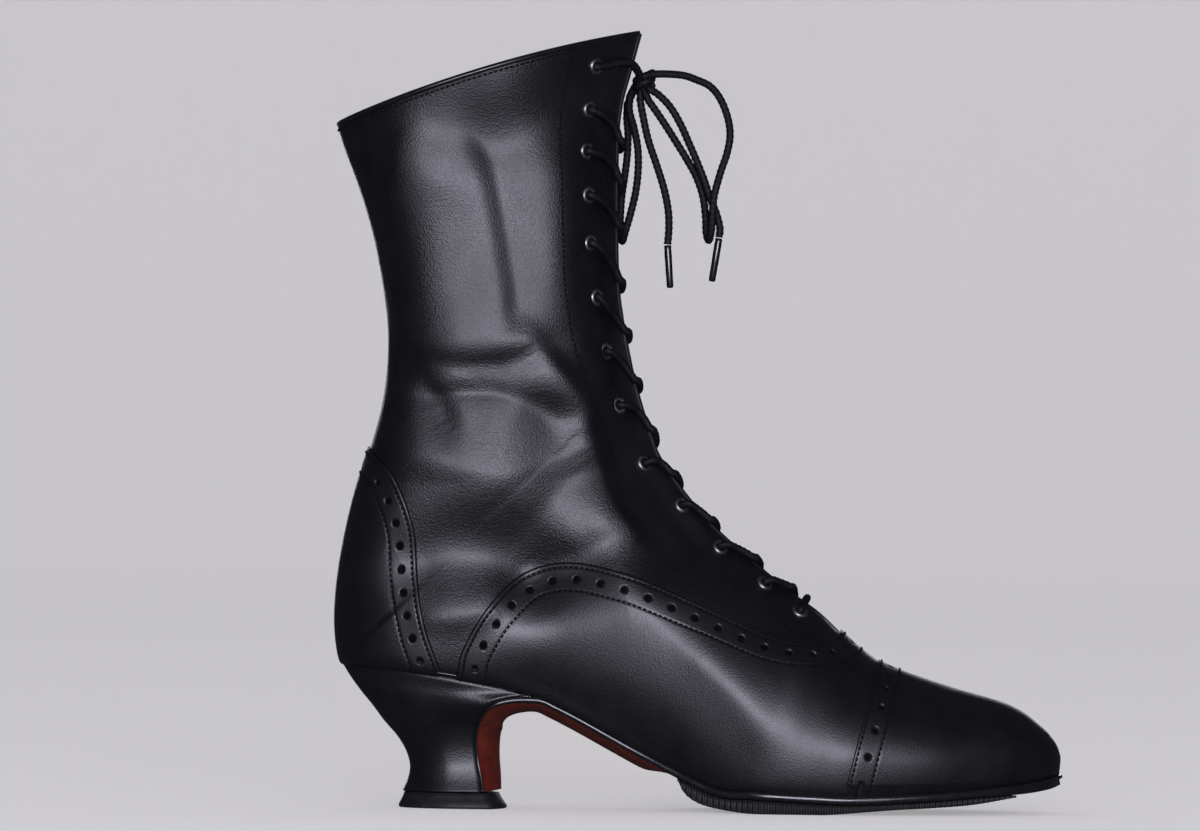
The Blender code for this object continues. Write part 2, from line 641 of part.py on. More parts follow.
def wing_outline():
    """Side outline of the vamp: the wing's edge, the toe cap's edge and the feather line."""
    wing = smooth_line(WING_EDGE, 2)
    cap = [(x - GAP, z) for x, z in smooth_line(CAP_EDGE, 2)]
    bottom = feather_outline(CAP_EDGE[-1][0] + 1.4, WING_EDGE[0][0] + 1.5)
    return wing + [(wing[-1][0] + 2, BLOCK_INSTEP), (cap[0][0], BLOCK_INSTEP)] + cap + bottom


def cap_outline():
    cap = smooth_line(CAP_EDGE, 2)
    bottom = feather_outline(CAP_EDGE[-1][0] + 1.4, SECTIONS[1][2])
    toe_z = SECTIONS[0][3] + FEATHER_CLEAR
    return [(cap[0][0], BLOCK_INSTEP)] + cap + bottom + [(BLOCK_TOE, toe_z), (BLOCK_TOE, BLOCK_INSTEP)]


def counter_outline():
    edge = smooth_line(COUNTER_EDGE, 2)
    bottom = feather_outline(COUNTER_EDGE[-1][0] - 2.3, SECTIONS[HEEL_ROW][2] + 1.4)
    heel_z = SECTIONS[HEEL_ROW][3] + FEATHER_CLEAR
    return [(BLOCK_HEEL, BLOCK_COUNTER)] + edge + bottom + [(BLOCK_HEEL, heel_z)]


def feather_outline(first_x, last_x):
    """The feather line in the side view, raised so that overlays clear the sole."""
    points = []
    for x in np.linspace(first_x, last_x, 9):
        row = section(place_at_back_x(x))
        points.append((row["back_x"], row["back_z"] + FEATHER_CLEAR))
    return points


def frame_at(point, normal):
    """A placing with local Z along a direction."""
    turn = Vector(normal).to_track_quat("Z", "Y").to_matrix().to_4x4()
    return Matrix.Translation(Vector(point) * MM) @ turn


def make_eyelet_ring():
    """A turned ring on local Z."""
    bottom, top = EYELET_LIFT * MM, (EYELET_LIFT + EYELET_HEIGHT) * MM
    shoulder = EYELET_RIM - EYELET_BEVEL
    profile = ((EYELET_BORE, top), (shoulder, top), (EYELET_RIM, bottom), (EYELET_BORE, bottom))
    mesh = bpy.data.meshes.new("eyelet")
    verts = [(radius * MM, 0, height) for radius, height in profile]
    mesh.from_pydata(verts, [(0, 1), (1, 2), (2, 3), (3, 0)], [])
    return mesh


def add_eyelets(metal, parts):
    ring = make_eyelet_ring()
    spots = {}
    for side, name in ((-1, "outer"), (1, "inner")):
        for number, (x, z) in enumerate(EYELETS, 1):
            place, angle = find_on_upper(x, z, side)
            spots[side, number] = place, angle
            obj = add_object(f"eyelet_{name}_{number:02d}", ring.copy(), metal, parts)
            obj.matrix_world = frame_at(upper_point(place, side, angle), upper_normal(place, side, angle))
            turned = obj.modifiers.new("Turned", "SCREW")
            turned.steps = EYELET_SIDES
            turned.render_steps = EYELET_SIDES
            turned.use_merge_vertices = True
            turned.merge_threshold = 0.00001
    return spots


def hole_cutter(spots):
    """One mesh of short pins through the facings, where the eyelets sit."""
    work = bmesh.new()
    for (side, _), (place, angle) in spots.items():
        matrix = frame_at(upper_point(place, side, angle), upper_normal(place, side, angle))
        bmesh.ops.create_cone(
            work, cap_ends=True, segments=EYELET_SIDES, radius1=EYELET_HOLE * MM, radius2=EYELET_HOLE * MM,
            depth=HOLE_DEPTH * MM, matrix=matrix,
        )
    return to_mesh("eyelet_holes", work)


def add_tube(name, points, radius, material, collection, resolution=2):
    """A round cord along points."""
    curve = bpy.data.curves.new(name, "CURVE")
    curve.dimensions = "3D"
    curve.bevel_depth = radius * MM
    curve.bevel_resolution = resolution
    curve.use_fill_caps = True
    spline = curve.splines.new("POLY")
    spline.points.add(len(points) - 1)
    for spot, point in zip(spline.points, points):
        spot.co = (point[0] * MM, point[1] * MM, point[2] * MM, 1)
    obj = bpy.data.objects.new(name, curve)
    collection.objects.link(obj)
    curve.materials.append(material)
    return obj


def tube_to_mesh(obj):
    """The same tube as a closed mesh object, so that it can be joined."""
    bpy.context.view_layer.update()
    evaluated = obj.evaluated_get(bpy.context.evaluated_depsgraph_get())
    mesh = bpy.data.meshes.new_from_object(evaluated)
    work = bmesh.new()
    work.from_mesh(mesh)
    bmesh.ops.remove_doubles(work, verts=work.verts, dist=1e-6)
    work.to_mesh(mesh)
    work.free()
    made = bpy.data.objects.new(obj.name, mesh)
    for collection in obj.users_collection:
        collection.objects.link(made)
    made.matrix_world = obj.matrix_world
    name = obj.name
    bpy.data.objects.remove(obj, do_unlink=True)
    made.name = name
    return made


def lifted(place, side, angle, height):
    return upper_point(place, side, angle) + upper_normal(place, side, angle) * height


def crossing_run(spots, number, side):
    """Half a crossing: from an eyelet down over its facing's edge to where the two runs meet in the gap."""
    place, angle = spots[side, number]
    way = spots[-side, number + 1][0] - place
    if number + 1 == len(EYELETS):
        way *= LAST_RUN
    over = LACE + GAP + 0.2
    run = [lifted(place, side, angle, EYELET_LIFT + EYELET_HEIGHT + over)]
    for down, inward in RUN_SHARES:
        run.append(lifted(place + way * down, side, angle * inward, over + RUN_CLEAR))
    edge_place = place + way * EDGE_SHARE
    edge = upper_point(edge_place, side, 0.0)
    forward = edge - upper_point(edge_place, side, 0.6)
    forward[1] = 0
    forward /= np.linalg.norm(forward)
    lip = edge + forward * (over + 0.2) + np.array((0, side * 0.6, 0))
    row = section(place + way * MEET_SHARE)
    meet = np.array((row["front_x"], row["mid"], row["front_z"])) + forward * 0.9
    return [*run, lip, meet]


def add_crossings(spots, material, parts):
    """Each crossing is the two runs of lace from a pair of eyelets, joined where they meet in the throat."""
    for number in range(2, len(EYELETS)):
        outer, inner = [crossing_run(spots, number, side) for side in (-1, 1)]
        route = outer[:-1] + [(outer[-1] + inner[-1]) / 2] + inner[-2::-1]
        add_tube(f"lace_crossing_{number:02d}", route, LACE, material, parts, 1)


def bar_route(spots):
    """The lowest run of the lace, straight across the throat from eyelet to eyelet."""
    number = len(EYELETS)
    height = EYELET_LIFT + EYELET_HEIGHT + LACE + 0.5
    ends = {side: lifted(*spot_of(spots, side, number), height) for side in (-1, 1)}
    row = section(spots[-1, number][0])
    front = np.array((row["front_x"], row["mid"], row["front_z"]))
    top = front + np.array((0.7, 0, 0.7)) * (LACE + 1.5)
    shoulder = {side: (ends[side] * 0.45 + top * 0.55) + np.array((0.5, 0, 1.2)) for side in (-1, 1)}
    return [ends[-1], shoulder[-1], top, shoulder[1], ends[1]]


def spot_of(spots, side, number):
    place, angle = spots[side, number]
    return place, side, angle


def add_bow(spots, lace, aglet, parts, helpers):
    """Knot with the two runs that reach it from the top eyelets, two loops and two ends with hard tips."""
    bpy.ops.mesh.primitive_uv_sphere_add(segments=12, ring_count=7, radius=1.0)
    knot = bpy.context.object
    knot.name = "lace_knot"
    knot.data.transform(Matrix.Diagonal((*[radius * MM for radius in KNOT_RADII], 1)))
    knot.location = Vector(KNOT) * MM
    for collection in list(knot.users_collection):
        collection.objects.unlink(knot)
    parts.objects.link(knot)
    knot.data.materials.append(lace)
    for side in (-1, 1):
        place, angle = spots[side, 1]
        over = EYELET_LIFT + EYELET_HEIGHT + LACE + 0.5
        start = lifted(place, side, angle, over)
        brow = lifted(place, side, 0.3, LACE + GAP + 1.0)
        route = spaced_line([start, brow, np.array(KNOT) + (0, side * 3.0, 1.0), np.array(KNOT)], ARM_STEP)
        arm = tube_to_mesh(add_tube(f"knot_arm_{side}", route, LACE, lace, helpers, 1))
        arm.hide_render = True
        arm.display_type = "WIRE"
        add_boolean(knot, arm, "UNION")
    cords = {"lace_end_a": END_A, "lace_end_b": END_B, "lace_loop_a": LOOP_A, "lace_loop_b": LOOP_B}
    for name, route in cords.items():
        add_tube(name, spaced_line(route, LACE_STEP), LACE, lace, parts)
    add_tube("aglet_a", AGLET_A, AGLET, aglet, parts)
    add_tube("aglet_b", AGLET_B, AGLET, aglet, parts)


def main():
    clear_scene()
    parts = make_collection("lace_up_boot")
    helpers = make_collection("cutters")
    leather = make_material("upper_leather", LEATHER, 0.38)
    trim = make_material("trim_leather", LEATHER, 0.34)
    lining = make_material("lining", (0.02, 0.018, 0.018), 0.6)
    red = make_material("sole_leather", RED_LEATHER, 0.4)
    rubber = make_material("rubber", RUBBER, 0.6)
    metal = make_material("eyelet_metal", METAL, 0.3, 1.0)
    lace = make_material("lace", LACE_BLACK, 0.7)
    tip = make_material("aglet", LACE_BLACK, 0.2)

    spots = add_eyelets(metal, parts)
    upper = add_object("upper", upper_surface("upper"), leather, parts)
    add_shell(upper, -WALL, 0.0)
    add_boolean(upper, add_cutter("eyelet_holes", hole_cutter(spots), helpers), "DIFFERENCE")

    overlays = (
        ("vamp", wing_outline(), OVERLAY),
        ("toe_cap", cap_outline(), CAP_LEATHER),
        ("counter", counter_outline(), OVERLAY),
    )
    for name, outline, thickness in overlays:
        overlay = add_object(name, upper_surface(name), trim, parts)
        add_shell(overlay, GAP, GAP + thickness)
        block = add_cutter(f"{name}_block", prism(f"{name}_block", outline), helpers)
        add_boolean(overlay, block, "INTERSECT")

    tongue = add_object("tongue", make_tongue(), leather, parts)
    add_shell(tongue, -TONGUE, 0.0)
    add_object("insole", make_insole(), lining, parts)
    add_object("outsole", make_outsole(), red, parts)
    add_object("half_sole", make_half_sole(), rubber, parts)
    add_object("heel", make_heel(), trim, parts)
    add_object("top_lift", make_top_lift(), rubber, parts)

    add_crossings(spots, lace, parts)
    add_tube("lace_bar", spaced_line(bar_route(spots), ARM_STEP), LACE, lace, parts, 1)
    add_bow(spots, lace, tip, parts, helpers)
    for obj in parts.objects:
        if obj.type == "MESH":
            obj.data.shade_smooth()
            obj.data.set_sharp_from_angle(angle=math.radians(40))


main()
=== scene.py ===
# %% [markdown]
# A tall laced boot on a spool heel, dressed step by step around its measured solids. The imported model gives
# every piece its place in metres. It could be rendered as it is, but its solids are plain and faceted, so finer
# pieces that keep their form are built to replace them.

# %% Load the measured boot
import math

import bmesh
import bpy
import numpy as np
from mathutils import Matrix, Vector, kdtree


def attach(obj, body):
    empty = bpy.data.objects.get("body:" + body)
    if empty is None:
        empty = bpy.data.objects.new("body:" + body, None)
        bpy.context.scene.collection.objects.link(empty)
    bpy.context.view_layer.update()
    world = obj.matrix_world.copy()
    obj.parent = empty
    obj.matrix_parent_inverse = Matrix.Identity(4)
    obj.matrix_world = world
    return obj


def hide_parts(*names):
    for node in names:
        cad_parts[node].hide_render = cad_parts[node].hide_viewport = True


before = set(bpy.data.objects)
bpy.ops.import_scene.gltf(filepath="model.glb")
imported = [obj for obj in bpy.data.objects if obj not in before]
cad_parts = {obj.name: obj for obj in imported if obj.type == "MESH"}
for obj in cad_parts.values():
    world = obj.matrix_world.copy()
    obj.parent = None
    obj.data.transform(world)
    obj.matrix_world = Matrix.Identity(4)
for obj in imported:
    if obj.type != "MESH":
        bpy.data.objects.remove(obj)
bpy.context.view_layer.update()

MM = 0.001

# %% [markdown]
# The photograph is a square side view, so the camera looks straight along +Y at the middle of the picture. A
# short lens would enlarge the near side of the boot. A long lens from four metres keeps the near side and the
# outline at one scale, and a small roll gives the boot the slight tilt that it has in the picture.

# %% Camera
PICTURE_WIDTH = 1200 * 0.36        # millimetres that the picture spans at the boot
CAMERA_AWAY = 4.0
CAMERA_ROLL = math.radians(0.684)
lens = bpy.data.cameras.new("side_camera")
lens.sensor_width = 36.0
lens.lens = lens.sensor_width * CAMERA_AWAY / (PICTURE_WIDTH * MM)
lens.clip_end = 100.0
camera = bpy.data.objects.new("side_camera", lens)
bpy.context.scene.collection.objects.link(camera)
camera.matrix_world = (
    Matrix.Translation((-0.0365, -CAMERA_AWAY, 0.1416))
    @ Matrix.Rotation(math.pi / 2, 4, "X")
    @ Matrix.Rotation(CAMERA_ROLL, 4, "Z")
)
bpy.context.scene.camera = camera
print("lens", round(lens.lens), "mm")

# %% [markdown]
# The stage is a pale floor that sweeps up into a round wall, far enough out for a camera on any side. A flat
# plane would end in a hard horizon, so a turned profile with a wide curve is used. It glows a little, which
# keeps floor and wall alike, and gloss doesn't see it, so the black leather keeps its depth.

# %% Stage
def add_object(name, mesh, material=None):
    obj = bpy.data.objects.new(name, mesh)
    bpy.context.scene.collection.objects.link(obj)
    if material:
        mesh.materials.append(material)
    return obj


def grid_faces(rows, columns, closed=False):
    """Quads of a grid of points, as an array; closed joins the last column to the first."""
    r, c = np.meshgrid(np.arange(rows - 1), np.arange(columns if closed else columns - 1), indexing="ij")
    d = (c + 1) % columns
    here, below = r * columns, (r + 1) * columns
    return np.stack((here + c, here + d, below + d, below + c), -1).reshape(-1, 4)


def mesh_of(name, points, faces, scale=MM):
    mesh = bpy.data.meshes.new(name)
    mesh.from_pydata((np.asarray(points) * scale).tolist(), [], np.asarray(faces, dtype=object).tolist())
    mesh.shade_smooth()
    return mesh


def turned(profile, steps):
    """Points and faces of a profile of (radius, height) turned about Z."""
    profile = np.asarray(profile, float)
    turn = np.linspace(0, 2 * math.pi, steps, endpoint=False)
    rings = [np.column_stack((r * np.cos(turn), r * np.sin(turn), np.full(steps, h))) for r, h in profile]
    return np.vstack(rings), grid_faces(len(profile), steps, closed=True)


STAGE_FLAT, STAGE_CURVE, STAGE_TOP = 6.0, 3.0, 8.0
STAGE_MIDDLE = 0.00001     # the profile starts this near its axis, so no hole shows in the floor
sweep = [
    (STAGE_FLAT + STAGE_CURVE * math.sin(a), STAGE_CURVE * (1 - math.cos(a)))
    for a in np.linspace(0, math.pi / 2, 24)
]
stage_profile = [(STAGE_MIDDLE, 0.0), (1.0, 0.0), (3.0, 0.0), *sweep, (STAGE_FLAT + STAGE_CURVE, STAGE_TOP)]
paper = bpy.data.materials.new("pale_paper")
paper.use_nodes = True
paper_shader = paper.node_tree.nodes["Principled BSDF"]
paper_shader.inputs["Base Color"].default_value = (0.66, 0.65, 0.665, 1)
paper_shader.inputs["Roughness"].default_value = 0.9
paper_shader.inputs["Specular IOR Level"].default_value = 0.0
paper_shader.inputs["Emission Color"].default_value = (0.66, 0.65, 0.665, 1)
paper_shader.inputs["Emission Strength"].default_value = 0.5
floor = add_object("floor", mesh_of("floor", *turned(stage_profile, 96), scale=1.0), paper)
floor.visible_glossy = False
print("stage", len(floor.data.polygons), "faces")

# %% [markdown]
# The picture was lit by one soft light beside the camera and a little above it: leather that faces the viewer
# shines, and leather that tips away goes dark. A wide, low area lamp gives that. A weak lamp overhead lights
# the floor, and a dim grey world rims the outline. A third lamp behind the boot is seen by gloss alone: it
# shows the inner side in other views and leaves the floor as it is.

# %% Light
def add_lamp(name, place, aim, width, height, power, colour):
    lamp = bpy.data.lights.new(name, "AREA")
    lamp.shape = "RECTANGLE"
    lamp.size, lamp.size_y = width, height
    lamp.energy = power
    lamp.color = colour
    obj = bpy.data.objects.new(name, lamp)
    bpy.context.scene.collection.objects.link(obj)
    obj.location = place
    obj.rotation_euler = (Vector(aim) - Vector(place)).to_track_quat("-Z", "Y").to_euler()
    obj.visible_camera = False
    return obj


add_lamp("soft_key", (0.10, -2.4, 0.34), (0.0, 0.0, 0.13), 1.3, 0.62, 44, (0.85, 0.84, 1.0))
back_lamp = add_lamp("soft_back", (0.0, 2.4, 0.34), (0.0, 0.0, 0.13), 1.3, 0.62, 8, (0.95, 0.96, 1.0))
back_lamp.visible_diffuse = False
top_lamp = add_lamp("soft_top", (0.0, 0.5, 3.6), (0.0, 0.3, 0.0), 4.5, 4.5, 17, (1.0, 0.99, 0.98))
top_lamp.visible_glossy = False
world = bpy.data.worlds.new("dim_room")
world.use_nodes = True
world.node_tree.nodes["Background"].inputs["Color"].default_value = (0.032, 0.031, 0.035, 1)
bpy.context.scene.world = world
bpy.context.scene.view_settings.view_transform = "Standard"
print("lamps", len(bpy.data.lights))

# %% [markdown]
# The upper is measured as sheets across the boot, from the toe over the instep to the collar. Each sheet runs
# from a front point to a back point, with its middle, its half widths and its closing shape. The solids come
# from such a table too. Here the instep's widest line is raised, which moves the leather by about two
# millimetres at most, so that the side of the foot turns to the light as leather over a last does. Each row is
# in millimetres, apart from the shape numbers seat, widest, edge and flat.

# %% Sections of the upper
COLUMNS = (
    "front_x", "front_z", "back_x", "back_z", "mid", "outer", "inner", "seat", "widest", "edge", "gap", "rise",
    "flat",
)
SECTIONS = np.array((
    (129.4, 20.0, 128.9, 14.4, 5.0, 0.0, 0.0, 0.90, 0.70, 0.50, 0.0, 0.0, 2.0),
    (127.6, 24.9, 125.6, 13.7, 5.0, 10.5, 10.5, 0.90, 0.72, 0.50, 0.0, 0.0, 2.0),
    (122.3, 30.7, 120.0, 12.4, 4.8, 18.0, 17.5, 0.90, 0.73, 0.50, 0.0, 0.0, 2.0),
    (111.9, 37.7, 108.0, 10.8, 4.2, 26.5, 25.5, 0.92, 0.74, 0.50, 0.0, 0.0, 2.0),
    (90.3, 44.0, 83.0, 8.4, 2.5, 35.0, 33.0, 0.93, 0.75, 0.52, 0.0, 0.0, 2.0),
    (68.5, 51.5, 56.0, 7.0, 0.8, 38.5, 36.0, 0.93, 0.75, 0.55, 0.0, 0.0, 2.0),
    (57.6, 58.4, 41.0, 7.4, 0.2, 39.0, 35.2, 0.93, 0.75, 0.56, 0.0, 0.0, 2.0),
    (50.4, 65.0, 30.0, 7.9, -0.3, 38.6, 33.4, 0.92, 0.74, 0.58, 0.0, 0.0, 2.0),
    (42.5, 72.2, 20.0, 8.5, -0.8, 37.5, 31.5, 0.90, 0.66, 0.70, 2.6, 0.0, 2.0),
    (29.8, 81.3, 6.0, 9.9, -1.4, 35.2, 28.8, 0.80, 0.60, 0.92, 3.2, 0.0, 2.0),
    (4.3, 102.6, -20.0, 22.0, -1.6, 31.8, 26.5, 0.70, 0.54, 1.18, 4.0, 0.0, 2.0),
    (-13.2, 124.0, -56.0, 40.4, -0.8, 30.0, 27.5, 0.72, 0.49, 1.26, 4.6, 0.0, 2.1),
    (-18.1, 134.8, -85.0, 47.5, 0.0, 29.8, 28.6, 0.83, 0.48, 1.28, 5.0, 0.0, 2.3),
    (-20.6, 141.5, -104.0, 50.1, 0.0, 29.6, 28.8, 0.81, 0.49, 1.28, 5.0, 0.0, 2.4),
    (-22.6, 148.0, -117.0, 51.7, 0.0, 29.5, 28.9, 0.62, 0.51, 1.26, 5.2, 0.0, 2.5),
    (-24.2, 153.6, -125.0, 52.8, 0.0, 29.4, 29.0, 0.34, 0.53, 1.22, 5.3, 0.0, 2.55),
    (-25.4, 158.5, -128.4, 53.3, 0.0, 29.3, 29.0, 0.00, 0.54, 1.22, 5.4, 0.0, 2.6),
    (-27.0, 166.0, -130.2, 68.0, 0.0, 29.2, 29.0, 0.00, 0.53, 1.22, 5.5, 0.0, 2.6),
    (-28.2, 172.0, -128.8, 87.0, 0.0, 29.2, 29.0, 0.00, 0.53, 1.23, 5.5, 0.0, 2.65),
    (-29.2, 178.0, -124.7, 108.3, 0.0, 29.2, 29.0, 0.00, 0.53, 1.24, 5.5, 0.0, 2.7),
    (-30.3, 186.0, -119.2, 128.1, 0.0, 29.3, 29.1, 0.00, 0.53, 1.25, 5.6, 0.0, 2.7),
    (-31.0, 198.0, -114.4, 148.5, 0.0, 29.4, 29.2, 0.00, 0.53, 1.25, 5.6, 0.0, 2.7),
    (-31.3, 214.0, -113.2, 171.0, 0.0, 29.8, 29.6, 0.00, 0.54, 1.25, 5.7, 0.0, 2.7),
    (-31.4, 232.0, -117.2, 198.0, 0.0, 30.8, 30.6, 0.00, 0.55, 1.25, 5.8, 0.3, 2.7),
    (-31.2, 244.0, -121.9, 215.6, 0.0, 32.0, 31.8, 0.00, 0.55, 1.25, 5.9, 0.7, 2.7),
    (-30.0, 254.5, -126.0, 227.2, 0.0, 33.0, 32.8, 0.00, 0.55, 1.25, 6.1, 1.3, 2.6),
    (-27.6, 264.0, -129.6, 236.6, 0.0, 33.8, 33.6, 0.00, 0.55, 1.25, 6.3, 2.0, 2.5),
    (-23.7, 279.0, -132.4, 245.0, 0.0, 34.5, 34.3, 0.00, 0.55, 1.25, 6.6, 2.9, 2.4),
))
THROAT_ROW, HEEL_ROW, LAST_ROW = 7, 16, len(SECTIONS) - 1
OUTER, INNER = -1, 1
WAIST_HOLLOW = ((7.0, 9.0, 11.5, 13.0), (1.0, 0.9, 0.9, 1.0))   # leather hangs straighter over the waist
print("sections", len(SECTIONS))

# %% [markdown]
# Between the rows the boot is a smooth curve. Blender could loft curves through the sections, but every seam,
# hole and stitch has to be placed on the leather, so a function gives the point for a place along the boot and
# an angle round it. Numpy works out thousands of points at once, where a loop over single points would be slow.

# %% Points of the upper
def smooth_table(table, places):
    """Values at places along a table, on a smooth curve through its rows."""
    table, places = np.asarray(table, float), np.asarray(places, float)
    padded = np.vstack((2 * table[0] - table[1], table, 2 * table[-1] - table[-2]))
    step = np.clip(places.astype(int), 0, len(table) - 2)
    t = (places - step)[..., None]
    before, here, ahead, after = (padded[step + k] for k in range(4))
    curve = 2 * before - 5 * here + 4 * ahead - after + t * (3 * (here - ahead) + after - before)
    return here + 0.5 * t * (ahead - before + t * curve)


def section(place):
    place = np.asarray(place, float)
    row = dict(zip(COLUMNS, np.moveaxis(smooth_table(SECTIONS, place), -1, 0)))
    row["gap"] = np.where(place <= THROAT_ROW, 0.0, row["gap"])
    row["seat"] = np.where(place >= HEEL_ROW, 0.0, row["seat"])
    return row


def upper_point(place, side, angle):
    """Points of the upper's outer face: angle 0 is the front, pi the back or the edge of the sole."""
    row = section(place)
    half = row["outer"] if side < 0 else row["inner"]
    turn = np.maximum(angle - math.pi / 2, 0.0)
    front = angle <= math.pi / 2
    widest = row["widest"]
    depth = np.where(front, widest * (1 - np.cos(angle)), widest + (1 - widest) * np.sin(turn))
    closing = (1 - np.maximum(np.cos(angle), 0.0) ** row["flat"]) ** row["edge"]
    flank = row["gap"] + np.maximum(half - row["gap"], 0.0) * closing
    foot = half * row["seat"]
    bend = row["flat"] * np.interp(place, *WAIST_HOLLOW)
    rear = foot + (half - foot) * np.maximum(1 - np.sin(turn) ** bend, 0.0) ** (1 / bend)
    spread = np.where(front, flank, rear)
    run_x, run_z = row["back_x"] - row["front_x"], row["back_z"] - row["front_z"]
    bow = 4 * depth * (1 - depth) * row["rise"] / np.hypot(run_x, run_z)
    x = row["front_x"] + depth * run_x + bow * run_z
    z = row["front_z"] + depth * run_z - bow * run_x
    return np.stack(np.broadcast_arrays(x, row["mid"] + side * spread, z), -1)


def unit(vectors):
    return vectors / np.maximum(np.linalg.norm(vectors, axis=-1, keepdims=True), 1e-12)


def upper_normal(place, side, angle, step=0.01):
    place = np.clip(place, 0.05, LAST_ROW - 0.02)
    angle = np.clip(angle, 0.06, math.pi - 0.012)
    along = upper_point(place + step, side, angle) - upper_point(place - step, side, angle)
    around = upper_point(place, side, angle + step) - upper_point(place, side, angle - step)
    return unit(-np.cross(along, around) * side)


collar_front = upper_point(LAST_ROW, OUTER, 0.0)
print("collar at the throat", collar_front.round(1).tolist())

# %% [markdown]
# Seams and holes are drawn on the side view, so the way back is needed too: which place and angle of the upper
# shows at a point of that view. It is searched for along the sections. Two more helpers space points evenly
# along a line, for tubes, stitches and holes.

# %% Lines on the upper
def on_upper(x, z):
    """Place and angle of the points of the upper that show at (x, z) from the side."""
    x, z = np.atleast_1d(np.asarray(x, float)), np.atleast_1d(np.asarray(z, float))
    places = np.linspace(0, LAST_ROW, 1351)
    rows = section(places)
    run_x, run_z = rows["back_x"] - rows["front_x"], rows["back_z"] - rows["front_z"]
    shift = np.zeros((2, len(x)))
    for _ in range(4):
        px, pz = x - shift[0], z - shift[1]
        cross = run_x * (pz[:, None] - rows["front_z"]) - run_z * (px[:, None] - rows["front_x"])
        turns = cross[:, :-1] * cross[:, 1:] <= 0
        k = np.where(turns.any(1), turns.argmax(1), len(places) - 2)
        first, second = cross[np.arange(len(x)), k], cross[np.arange(len(x)), k + 1]
        place = np.clip(places[k] + first / (first - second + 1e-12) * (places[1] - places[0]), 0, LAST_ROW)
        row = section(place)
        rx, rz = row["back_x"] - row["front_x"], row["back_z"] - row["front_z"]
        depth = np.clip(((px - row["front_x"]) * rx + (pz - row["front_z"]) * rz) / (rx**2 + rz**2), 0, 1)
        bow = 4 * depth * (1 - depth) * row["rise"] / np.hypot(rx, rz)
        shift = np.stack((bow * rz, -bow * rx))
    front = np.arccos(np.clip(1 - depth / row["widest"], -1, 1))
    back = math.pi / 2 + np.arcsin(np.clip((depth - row["widest"]) / (1 - row["widest"]), 0, 1))
    return place, np.where(depth <= row["widest"], front, back)


def even_line(points, spacing):
    """Even points on the smooth curve through route points."""
    points = np.asarray(points, float)
    dense = smooth_table(points, np.linspace(0, len(points) - 1, 24 * (len(points) - 1) + 1))
    return even_marks(dense, spacing)


def even_marks(line, spacing):
    """Even points along a fine line, by the length of its first three columns, with any more carried along."""
    lengths = np.concatenate(([0], np.cumsum(np.linalg.norm(np.diff(line[:, :3], axis=0), axis=1))))
    marks = np.linspace(0, lengths[-1], max(round(lengths[-1] / spacing), 2) + 1)
    return np.column_stack([np.interp(marks, lengths, line[:, k]) for k in range(line.shape[1])])


check_place, check_angle = on_upper([-74.0, 20.0], [200.0, 40.0])
print("a shaft point and a vamp point:", upper_point(check_place, OUTER, check_angle).round(1).tolist())

# %% [markdown]
# A finish in Blender is a graph of nodes. Written out in full it is long, so a few small helpers add a node,
# scale or sum values, and give noise with features of a size in millimetres on the piece's own coordinates.

# %% Helpers for finishes
def new_finish(name, colour, roughness, metallic=0.0):
    finish = bpy.data.materials.new(name)
    finish.use_nodes = True
    shader = finish.node_tree.nodes["Principled BSDF"]
    shader.inputs["Base Color"].default_value = (*colour, 1)
    shader.inputs["Roughness"].default_value = roughness
    shader.inputs["Metallic"].default_value = metallic
    return finish, shader


def add_node(finish, kind, settings=None, **inputs):
    """A node with its settings and its inputs, which are values or other nodes' outputs."""
    node = finish.node_tree.nodes.new(kind)
    for name, value in (settings or {}).items():
        setattr(node, name, value)
    for name, value in inputs.items():
        numbered = name[0] == "i" and name[1:].isdigit()
        socket = node.inputs[int(name[1:]) if numbered else name.replace("_", " ")]
        if isinstance(value, bpy.types.NodeSocket):
            finish.node_tree.links.new(value, socket)
        else:
            socket.default_value = value
    return node


def place_of(finish, stretch=(1, 1, 1)):
    """The surface's own coordinates in metres, stretched."""
    coords = add_node(finish, "ShaderNodeTexCoord")
    mapping = add_node(finish, "ShaderNodeMapping", Vector=coords.outputs["Object"], Scale=stretch)
    return mapping.outputs["Vector"]


def sums(finish, *values):
    total = values[0]
    for value in values[1:]:
        total = add_node(finish, "ShaderNodeMath", {"operation": "ADD"}, i0=total, i1=value).outputs[0]
    return total


def times(finish, value, share):
    return add_node(finish, "ShaderNodeMath", {"operation": "MULTIPLY"}, i0=value, i1=share).outputs[0]


def noise_of(finish, size_mm, detail=2.0, stretch=(1, 1, 1)):
    """Noise with features of about a size."""
    spot = place_of(finish, stretch)
    node = add_node(finish, "ShaderNodeTexNoise", Vector=spot, Scale=1000 / size_mm, Detail=detail)
    return node.outputs["Fac"]


def pores_of(finish, size_mm):
    spot = place_of(finish)
    node = add_node(finish, "ShaderNodeTexVoronoi", {"feature": "SMOOTH_F1"}, Vector=spot, Scale=1000 / size_mm)
    return node.outputs["Distance"]


def ranged(finish, value, low, high):
    return add_node(finish, "ShaderNodeMapRange", i0=value, i1=0.3, i2=0.7, i3=low, i4=high).outputs[0]


def mask_of(finish, name):
    return add_node(finish, "ShaderNodeAttribute", {"attribute_name": name}).outputs["Fac"]


def tinted(finish, colour, tone):
    """A colour made lighter and darker by a tone."""
    shade = add_node(finish, "ShaderNodeMix", {"data_type": "RGBA", "blend_type": "MULTIPLY"}, i0=1.0)
    shade.inputs[6].default_value = (*colour, 1)
    finish.node_tree.links.new(tone, shade.inputs[7])
    return shade.outputs[2]


print("helpers ready, materials so far", len(bpy.data.materials))
